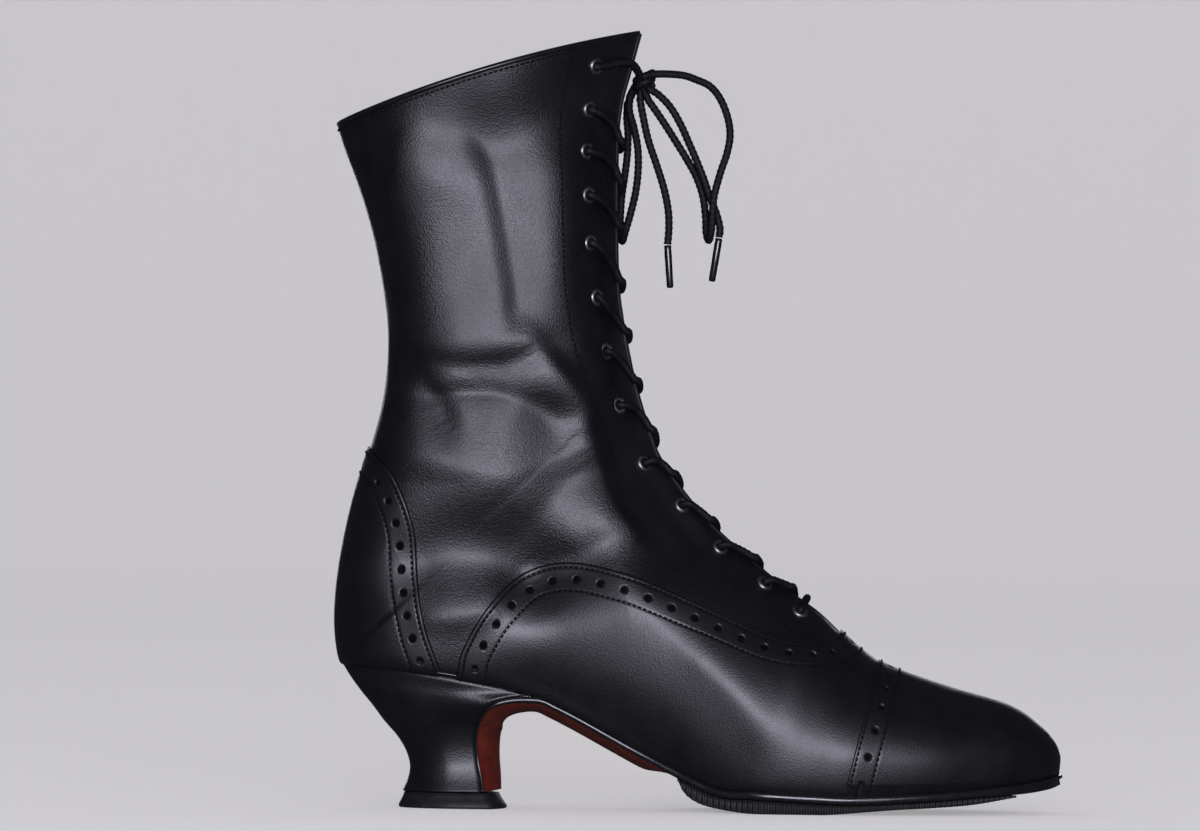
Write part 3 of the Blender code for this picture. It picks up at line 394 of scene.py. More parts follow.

# %% [markdown]
# Leather is nearly black calf with a fine grain. The grain could be modelled, but it is under a millimetre, so
# it is a bump: small cells for the pores, finer noise over them, and slow changes of gloss from handling. The
# mesh carries two masks, one for creased leather, which gets fine wrinkles, and one for punched holes, which
# are made rougher and painted near black as painted shade. Sole, rubber, metal, thread and lace have a plainer
# grain of their own.

# %% Finishes
def leather(name, colour, gloss, grain_mm, grain_depth, coat):
    """Calf: pores and wrinkles as a bump, gloss that changes slowly, painted shade in the punched holes."""
    finish, shader = new_finish(name, colour, 0.4)
    pores = pores_of(finish, grain_mm)
    fine = times(finish, noise_of(finish, grain_mm * 0.35, 2.0), 0.5)
    wrinkle = times(finish, noise_of(finish, 1.6, 3.0, (0.45, 1.0, 1.5)), mask_of(finish, "wrinkle"))
    height = sums(finish, pores, fine, times(finish, wrinkle, 0.7))
    bump = add_node(finish, "ShaderNodeBump", Strength=1.0, Distance=grain_depth * MM, Height=height)
    finish.node_tree.links.new(bump.outputs[0], shader.inputs["Normal"])
    handled = ranged(finish, noise_of(finish, 22.0, 3.0), gloss - 0.05, gloss + 0.07)
    uneven = times(finish, noise_of(finish, grain_mm * 1.5), 0.06)
    dull_holes = times(finish, mask_of(finish, "punch"), 0.4)
    rough = sums(finish, handled, uneven, dull_holes)
    finish.node_tree.links.new(rough, shader.inputs["Roughness"])
    shade = tinted(finish, colour, ranged(finish, noise_of(finish, 9.0, 3.0), 0.75, 1.2))
    # Painted shade: the base colour goes near black where the hole mask is set.
    dark = add_node(finish, "ShaderNodeMix", {"data_type": "RGBA"}, i0=mask_of(finish, "punch"))
    finish.node_tree.links.new(shade, dark.inputs[6])
    dark.inputs[7].default_value = (0.001, 0.001, 0.001, 1)
    finish.node_tree.links.new(dark.outputs[2], shader.inputs["Base Color"])
    shader.inputs["Coat Weight"].default_value = coat
    shader.inputs["Coat Roughness"].default_value = 0.25
    return finish


def plain_grain(name, colour, roughness, size_mm, depth, metallic=0.0, coat=0.0):
    """Any other finish: a fine noise in bump and gloss over one colour with slight changes of tone."""
    finish, shader = new_finish(name, colour, roughness, metallic)
    grain = noise_of(finish, size_mm, 4.0)
    bump = add_node(finish, "ShaderNodeBump", Strength=1.0, Distance=depth * MM, Height=grain)
    finish.node_tree.links.new(bump.outputs[0], shader.inputs["Normal"])
    rough = ranged(finish, noise_of(finish, size_mm * 6, 3.0), roughness - 0.08, roughness + 0.1)
    finish.node_tree.links.new(rough, shader.inputs["Roughness"])
    shade = tinted(finish, colour, ranged(finish, noise_of(finish, size_mm * 9, 3.0), 0.7, 1.25))
    finish.node_tree.links.new(shade, shader.inputs["Base Color"])
    shader.inputs["Coat Weight"].default_value = coat
    shader.inputs["Coat Roughness"].default_value = 0.2
    return finish


BLACK_CALF = (0.0042, 0.0039, 0.0056)
shaft_calf = leather("shaft_calf", BLACK_CALF, 0.35, 0.55, 0.1, 0.14)
trim_calf = leather("trim_calf", BLACK_CALF, 0.36, 0.5, 0.06, 0.2)
heel_calf = leather("heel_calf", BLACK_CALF, 0.36, 0.7, 0.06, 0.2)
edge_calf = plain_grain("edge_calf", (0.005, 0.005, 0.006), 0.32, 0.5, 0.02, coat=0.3)
facing_calf = plain_grain("facing_calf", (0.004, 0.004, 0.005), 0.6, 0.5, 0.04)
edge_polish = plain_grain("edge_polish", (0.006, 0.006, 0.007), 0.28, 0.8, 0.03, coat=0.5)
red_leather = plain_grain("red_leather", (0.085, 0.011, 0.0065), 0.5, 0.7, 0.03)
brown_lining = plain_grain("brown_lining", (0.10, 0.055, 0.034), 0.62, 0.6, 0.03)
black_rubber = plain_grain("black_rubber", (0.0085, 0.0085, 0.009), 0.55, 0.5, 0.03)
gunmetal = plain_grain("gunmetal", (0.30, 0.30, 0.32), 0.42, 0.4, 0.004, metallic=1.0)
lace_braid = plain_grain("lace_braid", (0.0036, 0.0036, 0.0042), 0.62, 0.25, 0.05)
black_thread = plain_grain("black_thread", (0.004, 0.004, 0.0045), 0.8, 0.2, 0.03)
# A matte near-black finish for the discs that paint shade into the holes.
painted_hole_shade = plain_grain("painted_hole_shade", (0.0015, 0.0015, 0.0018), 0.9, 0.3, 0.03)
for dull, shine in ((painted_hole_shade, 0.1), (black_thread, 0.15), (lace_braid, 0.3), (red_leather, 0.25)):
    dull.node_tree.nodes["Principled BSDF"].inputs["Specular IOR Level"].default_value = shine
lace_tip = plain_grain("lace_tip", (0.005, 0.005, 0.0055), 0.22, 0.8, 0.01, coat=0.6)
print("finishes", len(bpy.data.materials))

# %% [markdown]
# The lace is a round braid of 2.7 mm. A smooth tube with a bump would look like wire where it bends, so the
# braid's lozenges are in the tube's own radius. A frame carried along the route keeps the tube from twisting.

# %% Braided tube
LACE = 1.35            # radius
BRAID_DEPTH = 0.07     # share of the radius
BRAID_PITCH = 1.9


def frames_along(line):
    """Tangent and two cross directions at each point of a line, carried along without twist."""
    tangent = unit(np.gradient(line, axis=0))
    across = np.zeros_like(line)
    first = np.cross(tangent[0], (0.0, 1.0, 0.0))
    across[0] = unit(first if np.linalg.norm(first) > 0.1 else np.cross(tangent[0], (1.0, 0.0, 0.0)))
    for k in range(1, len(line)):
        across[k] = unit(across[k - 1] - tangent[k] * (across[k - 1] @ tangent[k]))
    return tangent, across, np.cross(tangent, across)


def tube(line, radius, sides, braid=0.0):
    """Points and faces of a tube along a line; radius is one number or one for each point, with closed ends."""
    _, across, second = frames_along(line)
    turn = np.linspace(0, 2 * math.pi, sides, endpoint=False)
    along = np.concatenate(([0], np.cumsum(np.linalg.norm(np.diff(line, axis=0), axis=1))))
    pattern = 1 + braid * np.cos(4 * turn)[None, :] * np.cos(2 * math.pi * along / BRAID_PITCH)[:, None]
    reach = np.broadcast_to(np.asarray(radius, float), len(line))[:, None] * pattern
    rings = line[:, None] + reach[..., None] * (
        np.cos(turn)[None, :, None] * across[:, None] + np.sin(turn)[None, :, None] * second[:, None]
    )
    points = np.vstack((rings.reshape(-1, 3), line[:1], line[-1:]))
    count, last = len(rings.reshape(-1, 3)), len(line) - 1
    ring = np.arange(sides)
    start = np.column_stack((np.roll(ring, -1), ring, np.full(sides, count)))
    end = np.column_stack((last * sides + ring, last * sides + np.roll(ring, -1), np.full(sides, count + 1)))
    return points, [*grid_faces(len(line), sides, closed=True).tolist(), *start.tolist(), *end.tolist()]


def joined(blocks):
    """Several (points, faces) as one."""
    points, faces, offset = [], [], 0
    for block_points, block_faces in blocks:
        points.append(np.asarray(block_points))
        faces += [[index + offset for index in face] for face in np.asarray(block_faces, dtype=object).tolist()]
        offset += len(block_points)
    return np.vstack(points), faces


def finish_piece(name, mesh, finish, nodes):
    obj = add_object(name, mesh, finish)
    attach(obj, "root")
    if nodes:
        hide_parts(*nodes)
    return obj


print("lace", 2 * LACE, "mm thick")

# %% [markdown]
# The bow hangs in front of the throat: two loops and two ends with hard tips. A simulated cord would fall its
# own way, so each follows a route set from the picture, the same as that of its solid.

# %% Bow
KNOT = (-22.9, 0.0, 261.5)
CORDS = {
    "lace_end_a": (
        (-20.0, -5.0, 259.0), (-16.8, -5.6, 257.1), (-12.5, -6.0, 252.7), (-8.7, -6.2, 246.4),
        (-5.8, -6.3, 240.1), (-3.0, -6.3, 233.8), (0.0, -6.3, 226.4), (2.2, -6.3, 220.1),
        (4.4, -6.2, 214.8), (5.8, -6.0, 209.5), (5.5, -5.9, 206.1),
    ),
    "lace_end_b": (
        (-23.4, 1.0, 255.4), (-22.5, 1.0, 250.5), (-20.3, 1.0, 241.0), (-17.0, 1.0, 231.5),
        (-14.3, 1.0, 223.0), (-12.8, 1.0, 215.6), (-12.5, 1.0, 209.3), (-12.9, 1.0, 203.5),
    ),
    "lace_loop_a": (
        (-20.5, -2.0, 255.3), (-15.6, -2.6, 248.4), (-10.8, -3.0, 241.1), (-6.5, -3.0, 234.3),
        (-2.9, -3.0, 227.9), (-0.5, -3.2, 221.1), (0.6, -3.8, 213.7), (0.9, -4.4, 207.9),
        (1.8, -6.2, 205.0), (2.7, -8.2, 208.4), (3.0, -9.3, 214.2), (3.6, -9.8, 221.1),
        (5.8, -10.0, 229.6), (7.9, -10.0, 236.0), (9.0, -9.6, 242.4), (8.2, -9.0, 248.7),
        (5.5, -8.0, 255.6), (1.7, -7.0, 260.3), (-3.1, -6.0, 262.6), (-7.9, -5.0, 264.2),
        (-14.2, -3.6, 264.7), (-19.5, -2.5, 264.6),
    ),
    "lace_loop_b": (
        (-27.1, 4.0, 256.8), (-27.2, 5.6, 251.5), (-25.4, 7.4, 245.1), (-24.0, 8.6, 237.8),
        (-23.8, 9.2, 230.3), (-24.6, 9.6, 222.4), (-26.4, 10.0, 214.4), (-28.2, 10.2, 208.0),
        (-29.2, 11.8, 204.6), (-29.9, 13.4, 207.5), (-30.0, 13.4, 213.3), (-29.6, 13.0, 220.7),
        (-28.6, 12.5, 228.2), (-27.8, 12.0, 235.6), (-27.6, 11.0, 243.0), (-28.1, 9.5, 248.8),
        (-27.9, 7.5, 254.1),
    ),
}
TIPS = {
    "aglet_a": ("lace_end_a", ((5.5, -5.9, 205.8), (3.1, -5.4, 190.2))),
    "aglet_b": ("lace_end_b", ((-12.9, 1.0, 203.2), (-11.8, 1.0, 187.8))),
}
TIP_SHAPE = ((0.0, 0.80), (0.03, 1.0), (0.10, 0.93), (0.16, 1.0), (0.94, 0.92), (0.99, 0.80), (1.0, 0.3))
for name, (cord_name, ends) in TIPS.items():
    start, end = np.array(ends)
    shares = np.array([share for share, _ in TIP_SHAPE])
    line = start + (end - start) * shares[:, None]
    points, faces = tube(line, [LACE * 1.02 * width for _, width in TIP_SHAPE], 20)
    finish_piece(name + "_tip", mesh_of(name, points, faces), lace_tip, [name])
for name, route in CORDS.items():
    line = even_line(route, 0.32)
    points, faces = tube(line, LACE, 20, braid=BRAID_DEPTH)
    cord = finish_piece(name + "_cord", mesh_of(name, points, faces), lace_braid, [name])

# %% [markdown]
# Worn leather breaks at the ankle and over the joint of the foot. The folds could be sculpted or left to a
# noise, but noise never lands where the foot bends. So each main fold is drawn on the side of the boot, as a
# line with a height in millimetres and a reach to each side of it: a short reach gives a steep wall and a long
# one a soft slope.

# %% Folds
# Each: height, reach on the left of its direction, reach on the right, route in the side view
FOLDS = (
    # the long step of the shaft and the ridge beside the facing
    (-1.7, 18.0, 5.5, ((-85.4, 254.6), (-81.3, 243.8), (-75.8, 233.1), (-72, 218.8), (-68.5, 200.8),
                       (-66.2, 186.4), (-65.4, 177.4), (-64.2, 169.2), (-61.9, 160.5))),
    (2.6, 9.0, 10.5, ((-50.1, 255), (-49.6, 240.6), (-48.9, 219), (-48.4, 201), (-46.7, 183), (-44, 166.9),
                      (-39.5, 152.5), (-34.3, 138.2), (-30.6, 129.2))),
    # the two breaks at the ankle, one under the other
    (-2.1, 5.5, 9.0, ((-110.6, 162.5), (-101.5, 159.7), (-92.5, 158), (-83.5, 157.8), (-72.7, 158.6),
                      (-63.7, 161.2), (-54.8, 166.4), (-49.1, 171.5))),
    (-3.1, 3.8, 30.0, ((-106.7, 144.2), (-97.8, 146.1), (-88.8, 147.6), (-79.8, 148.1), (-70.8, 147.5),
                       (-62.5, 144.7), (-56.3, 139.7), (-52.2, 132.6))),
    # the curling ridge towards the facing
    (2.4, 5.0, 7.5, ((-65.7, 173.8), (-56.5, 161.3), (-49.2, 151.3), (-43.7, 143.5), (-41.8, 135.6),
                     (-37.1, 128.4), (-30.5, 121.3))),
    # the bulge over the ankle bone, the hollow under it and the crest above the sole
    (3.0, 45.0, 10.5, ((-119.2, 135.4), (-103, 129.8), (-92.1, 126.3), (-81.3, 122.9), (-72.3, 121.5),
                       (-63.3, 123.8), (-52.5, 129), (-36.4, 136.4))),
    (-3.6, 14.0, 13.0, ((-111.4, 81.5), (-100.7, 88.1), (-91.7, 91.8), (-82.7, 92.6), (-75.5, 92),
                        (-69.7, 89.9), (-63.9, 84.9), (-57.3, 73.1))),
    (1.2, 9.0, 6.0, ((-102.2, 69.3), (-86, 69.9), (-75.3, 72.5), (-66.3, 78.4))),
    # the three-cornered facet under the facing
    (-2.2, 20.0, 10.0, ((-33.5, 130.6), (-42.4, 120.1), (-50.5, 111.7), (-57.3, 103), (-64, 92.1))),
    (2.6, 4.0, 13.0, ((-43.6, 135.6), (-37, 122), (-33.3, 113.4), (-27.4, 104.1), (-17.2, 94.1))),
    (-3.0, 20.0, 12.0, ((-75.3, 76.1), (-55.6, 82.1), (-41.2, 87.3), (-26.9, 93.3), (0.2, 87.8))),
    (-1.2, 6.0, 8.0, ((-70, 82.7), (-55.6, 86.8), (-43.1, 90.6), (-30.6, 96.8), (-12.6, 97))),
    # the slanting break at the back of the ankle
    (-1.4, 5.0, 7.0, ((-116.1, 171.4), (-108.8, 162.1), (-103.3, 155.4), (-97.8, 148.6), (-93, 141.4),
                      (-88.9, 131.4))),
    # the bend at the back of the shaft and the flare under the collar
    (1.6, 14.0, 6.0, ((-112.4, 254.3), (-108.9, 236.3), (-110.5, 218.3), (-108.6, 205.7), (-106.1, 182.3),
                      (-101.6, 164.4))),
    (-2.4, 16.0, 14.0, ((-133.2, 248.3), (-109.8, 247.1), (-98.9, 245.1), (-86.3, 243.1), (-73.7, 241.8),
                        (-61.1, 244.8), (-37.9, 256.6))),
    # the ridge of the vamp and the tuck over the heel's front
    (0.5, 7.0, 7.0, ((-6.8, 66.5), (4.2, 54), (13.3, 43.3), (22.4, 30.9), (31.6, 18.4))),
    (-1.2, 12.0, 7.0, ((-71.4, 48.8), (-56.9, 43.9), (-42.4, 36.9), (-26.1, 27.8), (-2.6, 15.1))),
)
INNER_SHARE = 0.7      # the folds of the inner side are shallower
print("folds", len(FOLDS), "deepest", min(fold[0] for fold in FOLDS), "mm")

# %% [markdown]
# The folds are added up as heights on the side view, and the leather is moved along its own direction by them.
# They fade where the leather turns away from the side, so they don't notch the outline. A displacement texture
# could do this, but numbers in the script are easier to place and to correct. Where a fold runs, a mask says
# how creased the leather is, for the finer wrinkles of its finish.

# %% Folded leather
def soft_step(t):
    t = np.clip(t, 0, 1)
    return t * t * (3 - 2 * t)


def fold_height(x, z):
    """Height of the folds at points of the side view, and how creased the leather is there."""
    shape = np.shape(x)
    spots = np.column_stack((np.ravel(x), np.ravel(z)))
    height, creased = np.zeros(len(spots)), np.zeros(len(spots))
    for rise, left, right, route in FOLDS:
        line = even_line(route, 2.0)
        reach = 2.6 * max(left, right)
        near = np.flatnonzero(((spots > line.min(0) - reach) & (spots < line.max(0) + reach)).all(1))
        if not len(near):
            continue
        run = np.diff(line, axis=0)
        offset = spots[near][:, None] - line[:-1][None]
        share = np.clip((offset * run).sum(2) / (run**2).sum(1), 0, 1)
        offset -= share[..., None] * run
        cross = run[None, :, 0] * offset[..., 1] - run[None, :, 1] * offset[..., 0]
        gap = np.linalg.norm(offset, axis=2)
        lean = cross / (gap * np.linalg.norm(run, axis=1) + 1e-9)
        away = 2 * gap / (left + right + (left - right) * lean)
        along = (np.arange(len(run)) + share) / len(run)
        ends = soft_step(along / 0.25) * soft_step((1 - along) / 0.25)
        height[near] += rise * (ends * np.exp(-(away**2))).max(1)
        soft = (ends * np.exp(-((0.7 * away) ** 2))).max(1)
        creased[near] += abs(rise) * soft * (2.0 if left < 3.7 else 0.6)
    return height.reshape(shape), np.clip(creased / 2.0, 0, 1).reshape(shape)


def draped(place, side, angle, lift=0.0):
    """Points of the upper's folded outer face, lifted off it, with their directions and crease mask."""
    base, normal = upper_point(place, side, angle), upper_normal(place, side, angle)
    height, creased = fold_height(base[..., 0], base[..., 2])
    share = (1.0 if side < 0 else INNER_SHARE) * soft_step(np.abs(normal[..., 1]) / 0.6)
    share = share * soft_step((angle - 0.34) / 0.3)        # the facing stays flat
    share = share * soft_step((math.pi - angle) / 0.5)     # and so does the leather at the sole's edge
    return base + normal * (share * height + lift)[..., None], normal, creased


ankle, _ = fold_height(np.array([-83.0]), np.array([157.8]))
print("height at the ankle's upper break", ankle.round(2).tolist(), "mm")

# %% [markdown]
# The upper is one thin wall, open at the collar and down the throat. Its outer face and its lining are two
# fine sheets over the same sections, 1.8 mm apart, and a bead and a folded edge will close the rims between
# them. A solidified sheet would do too, but two sheets let the outside be finer than the hidden inside.

# %% Upper and lining
WALL = 1.8
EYELETS = (
    (-39.1, 266.7), (-41.0, 251.2), (-42.7, 236.4), (-42.5, 220.5), (-41.6, 203.3), (-39.2, 183.9),
    (-35.7, 164.5), (-30.4, 145.1), (-20.1, 124.7), (-6.6, 109.7), (7.3, 94.8), (23.3, 82.0), (36.0, 72.1),
)
eyelet_place, eyelet_angle = on_upper(*np.array(EYELETS).T)
SIDES = (OUTER, INNER)
eyelet_centres = {side: draped(eyelet_place, side, eyelet_angle)[0] for side in SIDES}
eyelet_normals = {side: upper_normal(eyelet_place, side, eyelet_angle) for side in SIDES}


def spaced_places(first, last, spacing):
    """Places whose sections are nowhere further apart than a spacing."""
    dense = np.linspace(first, last, 2000)
    speed = np.max([
        np.linalg.norm(np.diff(upper_point(dense, OUTER, a), axis=0), axis=1)
        for a in (0.1, 0.8, 1.57, 2.3, 3.1)
    ], axis=0)
    lengths = np.concatenate(([0], np.cumsum(speed)))
    return np.interp(np.linspace(0, lengths[-1], round(lengths[-1] / spacing) + 1), lengths, dense)


def spaced_angles(spacing):
    dense = np.linspace(0, math.pi, 1500)
    line = upper_point(22.0, OUTER, dense)
    lengths = np.concatenate(([0], np.cumsum(np.linalg.norm(np.diff(line, axis=0), axis=1))))
    return np.interp(np.linspace(0, lengths[-1], round(lengths[-1] / spacing) + 1), lengths, dense)


def near_any(points, centres, reach):
    tree = kdtree.KDTree(len(centres))
    for k, centre in enumerate(centres):
        tree.insert(centre, k)
    tree.balance()
    return np.array([tree.find(point)[2] for point in points]) < reach


def sheet(name, parts, weld=0.02, **masks):
    """A welded mesh from (points grid, turned over or not) blocks, with vertex masks in the same order."""
    points, faces, offset = [], [], 0
    for grid, flip, keep in parts:
        rows, columns = grid.shape[:2]
        quads = grid_faces(rows, columns)
        if keep is not None:
            quads = quads[keep(grid.reshape(-1, 3)[quads].mean(1))]
        faces.append((quads[:, ::-1] if flip else quads) + offset)
        points.append(grid.reshape(-1, 3))
        offset += rows * columns
    mesh = mesh_of(name, np.vstack(points), np.vstack(faces))
    for mask, values in masks.items():
        layer = mesh.attributes.new(mask, "FLOAT", "POINT")
        layer.data.foreach_set("value", np.concatenate([np.ravel(v) for v in values]).astype(np.float32))
    work = bmesh.new()
    work.from_mesh(mesh)
    bmesh.ops.remove_doubles(work, verts=work.verts, dist=weld * MM)
    loose = [vert for vert in work.verts if not vert.link_faces]
    bmesh.ops.delete(work, geom=loose, context="VERTS")
    bmesh.ops.dissolve_degenerate(work, edges=work.edges, dist=1e-7)
    work.to_mesh(mesh)
    work.free()
    mesh.shade_smooth()
    return mesh


print("eyelet angles", eyelet_angle.round(2).tolist())

# %% [markdown]
# Now the two sheets are built, finer on the outer side that shows most. Faces that lie in an eyelet are left
# out, so the lace really goes through the leather.

# %% Skin and lining
skin_parts, skin_wrinkle, lining_parts = [], [], []
for side in SIDES:
    fine = 1.0 if side < 0 else 1.6
    places = np.concatenate((np.linspace(0, 6, 40)[:-1], spaced_places(6.0, LAST_ROW, fine)))
    angles = spaced_angles(fine)
    grid, _, creased = draped(places[:, None], side, angles[None, :])
    far_from_eyelets = lambda centres, side=side: ~near_any(centres, eyelet_centres[side], 1.9)
    skin_parts.append((grid, side < 0, far_from_eyelets))
    skin_wrinkle.append(creased)
    inside, _, _ = draped(spaced_places(0.4, LAST_ROW, 2.0)[:, None], side, spaced_angles(1.8)[None, :], -WALL)
    lining_parts.append((inside, side > 0, far_from_eyelets))
skin_mesh = sheet("upper_skin", skin_parts, wrinkle=skin_wrinkle)
skin = finish_piece("upper_skin", skin_mesh, shaft_calf, ["upper"])
lining = finish_piece("upper_lining", sheet("upper_lining", lining_parts), brown_lining, None)
print("upper", len(skin.data.vertices), "lining", len(lining.data.vertices))

# %% [markdown]
# Vamp, toe cap and counter are separate leathers sewn over the upper, with their edges cut and polished, two
# rows of stitching and punched holes between. The grid of each one starts on its own cut edge, so the edge is
# clean, and is finest in the band behind it. The rounding of the edge, the grooves under the stitches and the
# holes are then heights that depend on the distance from the edge.

# %% Overlay edges
WING_EDGE = (
    (-86.5, 48.6), (-84.5, 57.7), (-75.3, 73.3), (-62.5, 85.3), (-45.6, 89.1), (-22.5, 84.3),
    (0.3, 74.2), (24.9, 63.3), (38.0, 61.0), (46.0, 62.4), (50.2, 64.4),
)
CAP_EDGE = ((64.3, 55.5), (59.4, 37.4), (56.3, 26.2), (52.6, 11.0))
COUNTER_EDGE = (
    (-119.2, 129.3), (-109.7, 118.6), (-103.0, 101.4), (-101.3, 82.7), (-97.9, 64.7), (-92.7, 50.4),
)
OVERLAY_LIFT, CAP_LIFT = 1.2, 1.7
EDGE_ROUND = 0.7
BOTTOM_ANGLE = math.pi - 0.03


def edge_spots(edge, spacing):
    """Even (place, angle) points along a cut edge."""
    dense = even_line(edge, 0.1)
    place, angle = on_upper(dense[:, 0], dense[:, 1])
    solid = upper_point(place, OUTER, angle)
    return even_marks(np.column_stack((solid, place, angle)), spacing)[:, 3:].T


def rows_from_edge(first, last, fine_reach, fine, coarse):
    """A grid of (place, angle) from one line of them to another, fine at first and coarser after."""
    share = np.linspace(0, 1, 240)[:, None, None]
    path = first[None] * (1 - share) + last[None] * share
    solid = upper_point(path[:, 0], OUTER, path[:, 1])
    steps = np.linalg.norm(np.diff(solid, axis=0), axis=2)
    lengths = np.concatenate((np.zeros((1, solid.shape[1])), np.cumsum(steps, 0)))
    longest = lengths[-1].max()
    fine_rows, coarse_rows = round(fine_reach / fine), round(max(longest - fine_reach, 1) / coarse)
    grid = np.empty((fine_rows + coarse_rows + 1, 2, solid.shape[1]))
    for k in range(solid.shape[1]):
        near = min(fine_reach, 0.75 * lengths[-1, k])
        beyond = np.linspace(near, lengths[-1, k], coarse_rows + 1)[1:]
        marks = np.concatenate((np.linspace(0, near, fine_rows + 1), beyond))
        for axis in range(2):
            grid[:, axis, k] = np.interp(marks, lengths[:, k], path[:, axis, k])
    return grid[:, 0], grid[:, 1]


def distances(points, line):
    tree = kdtree.KDTree(len(line))
    for k, point in enumerate(line):
        tree.insert(point, k)
    tree.balance()
    flat = points.reshape(-1, 3)
    return np.array([tree.find(point)[2] for point in flat]).reshape(points.shape[:-1])


def row_along(solid, normal, away, distance):
    """The line on a grid at a distance from its cut edge, with the surface's directions."""
    line = []
    for k in range(solid.shape[1]):
        beyond = np.flatnonzero(away[:, k] >= distance)
        if not len(beyond) or beyond[0] == 0:
            continue
        j = beyond[0]
        share = (distance - away[j - 1, k]) / (away[j, k] - away[j - 1, k])
        both = np.concatenate((solid[:, k], normal[:, k]), axis=1)
        line.append(both[j - 1] * (1 - share) + both[j] * share)
    return np.array(line)


def set_on(points, centre, normal):
    turn = np.array(Vector(normal).to_track_quat("Z", "Y").to_matrix())
    return points @ turn.T + centre


wing_length = float(np.linalg.norm(np.diff(WING_EDGE, axis=0), axis=1).sum())
print("wing edge", round(wing_length), "mm")

# %% [markdown]
# One function makes any of the three. It lifts the leather off the upper, rounds its cut edge, presses a groove
# under each row of stitches and sinks the holes. Boolean cuts would leave ragged faces in so thin a sheet, so
# the holes are steep dips, each with a black disc in it as painted shade. The rows and the discs are kept for
# the next steps.

# %% Overlay leather
stitch_rows, painted_shade_discs = [], []
HOLE_RADIUS, HOLE_DEPTH, SHADE_DISC_DROP = 1.2, 0.9, 0.34
GROOVE_DEPTH, GROOVE_REACH = 0.16, 0.38


def overlay(name, grids, lift, rows, hole_distance, hole_pitch, nodes):
    """An overlay from its two sides' grids of (place, angle): rounded edge, grooves, holes and folds."""
    parts, punches, wrinkles = [], [], []
    for side, (place, angle) in grids.items():
        solid, normal, creased = draped(place, side, angle)
        away = distances(solid, even_marks(solid[0], 0.15))
        rise = np.sqrt(1 - (1 - np.clip(away / EDGE_ROUND, 0, 1)) ** 2)
        height = 0.05 + (lift - 0.05) * rise
        for row in rows:
            height -= GROOVE_DEPTH * np.exp(-(((away - row) / GROOVE_REACH) ** 2))
            line = row_along(solid, normal, away, row)
            line[:, :3] += line[:, 3:] * (lift - 0.08)
            stitch_rows.append(line)
        spots = even_marks(row_along(solid, normal, away, hole_distance), hole_pitch)
        spots = (spots[:-1] + spots[1:]) / 2
        outward = unit(spots[:, 3:])
        # A black disc in each hole, as painted shade.
        painted_shade_discs.extend(np.hstack((spots[:, :3] + outward * (lift - SHADE_DISC_DROP), outward)))
        hole = 1 - soft_step((distances(solid, spots[:, :3]) - HOLE_RADIUS + 0.25) / 0.5)
        height -= HOLE_DEPTH * hole
        parts.append((solid + normal * height[..., None], side > 0, None))
        punches.append(hole)
        wrinkles.append(creased * 0.5)
        print(name, "holes", len(spots))
    return finish_piece(name, sheet(name, parts, punch=punches, wrinkle=wrinkles), trim_calf, nodes)


print("holes of", 2 * HOLE_RADIUS, "mm")

# %% [markdown]
# The wing's edge climbs from the sole to the throat. The rows of its grid run from there down to the sole and
# forward to the toe cap, so the far line is walked in step with the wing: sole first, then under the cap.

# %% Vamp, toe cap and counter
def vamp_grid(spacing):
    wing = np.array(edge_spots(WING_EDGE, spacing))
    wing[1, 0], wing[1, -1] = BOTTOM_ANGLE, 0.0
    cap = np.array(edge_spots([(x + 2.0, z) for x, z in CAP_EDGE[::-1]], 1.0))
    cap[1, -1] = 0.0
    sole = np.stack((np.linspace(wing[0, 0], cap[0, 0], 120), np.full(120, BOTTOM_ANGLE)))
    under = np.stack((np.linspace(cap[0, -1], wing[0, -1] - 0.6, 10), np.zeros(10)))
    far = np.concatenate((sole, cap, under), axis=1)
    solid = upper_point(far[0], OUTER, far[1])
    lengths = np.concatenate(([0], np.cumsum(np.linalg.norm(np.diff(solid, axis=0), axis=1))))
    t = np.linspace(0, 1, wing.shape[1])
    walk = np.interp(t, (0, 0.3, 0.72, 1), (0, 0.14, 0.5, 1)) * lengths[-1]
    last = np.stack([np.interp(walk, lengths, far[k]) for k in range(2)])
    return rows_from_edge(wing, last, 15.0, spacing * 0.9, 1.3)


def cap_grid(spacing):
    cap = np.array(edge_spots(CAP_EDGE, spacing))
    cap[1, 0], cap[1, -1] = 0.0, BOTTOM_ANGLE
    tip = np.stack((np.zeros(cap.shape[1]), cap[1]))
    return rows_from_edge(cap, tip, 12.0, spacing, 0.9)


def counter_grid(spacing):
    edge = np.array(edge_spots(COUNTER_EDGE, spacing))
    edge[1, 0] = math.pi
    last = np.stack((edge[0], np.where(edge[0] < HEEL_ROW, BOTTOM_ANGLE, math.pi)))
    return rows_from_edge(edge, last, 12.0, spacing * 0.9, 1.4)


FINE = {OUTER: 0.42, INNER: 0.6}
vamp = overlay(
    "vamp_leather", {side: vamp_grid(FINE[side]) for side in SIDES}, OVERLAY_LIFT, (1.9, 10.2), 5.9, 9.2,
    ["vamp"],
)
toe_cap = overlay(
    "toe_cap_leather", {side: cap_grid(FINE[side]) for side in SIDES}, CAP_LIFT, (1.5, 8.9), 5.2, 9.2,
    ["toe_cap"],
)
counter = overlay(
    "counter_leather", {side: counter_grid(FINE[side]) for side in SIDES}, OVERLAY_LIFT, (1.8, 9.4), 5.6, 8.8,
    ["counter"],
)
for piece in (vamp, toe_cap, counter):
    print(piece.name, len(piece.data.vertices))
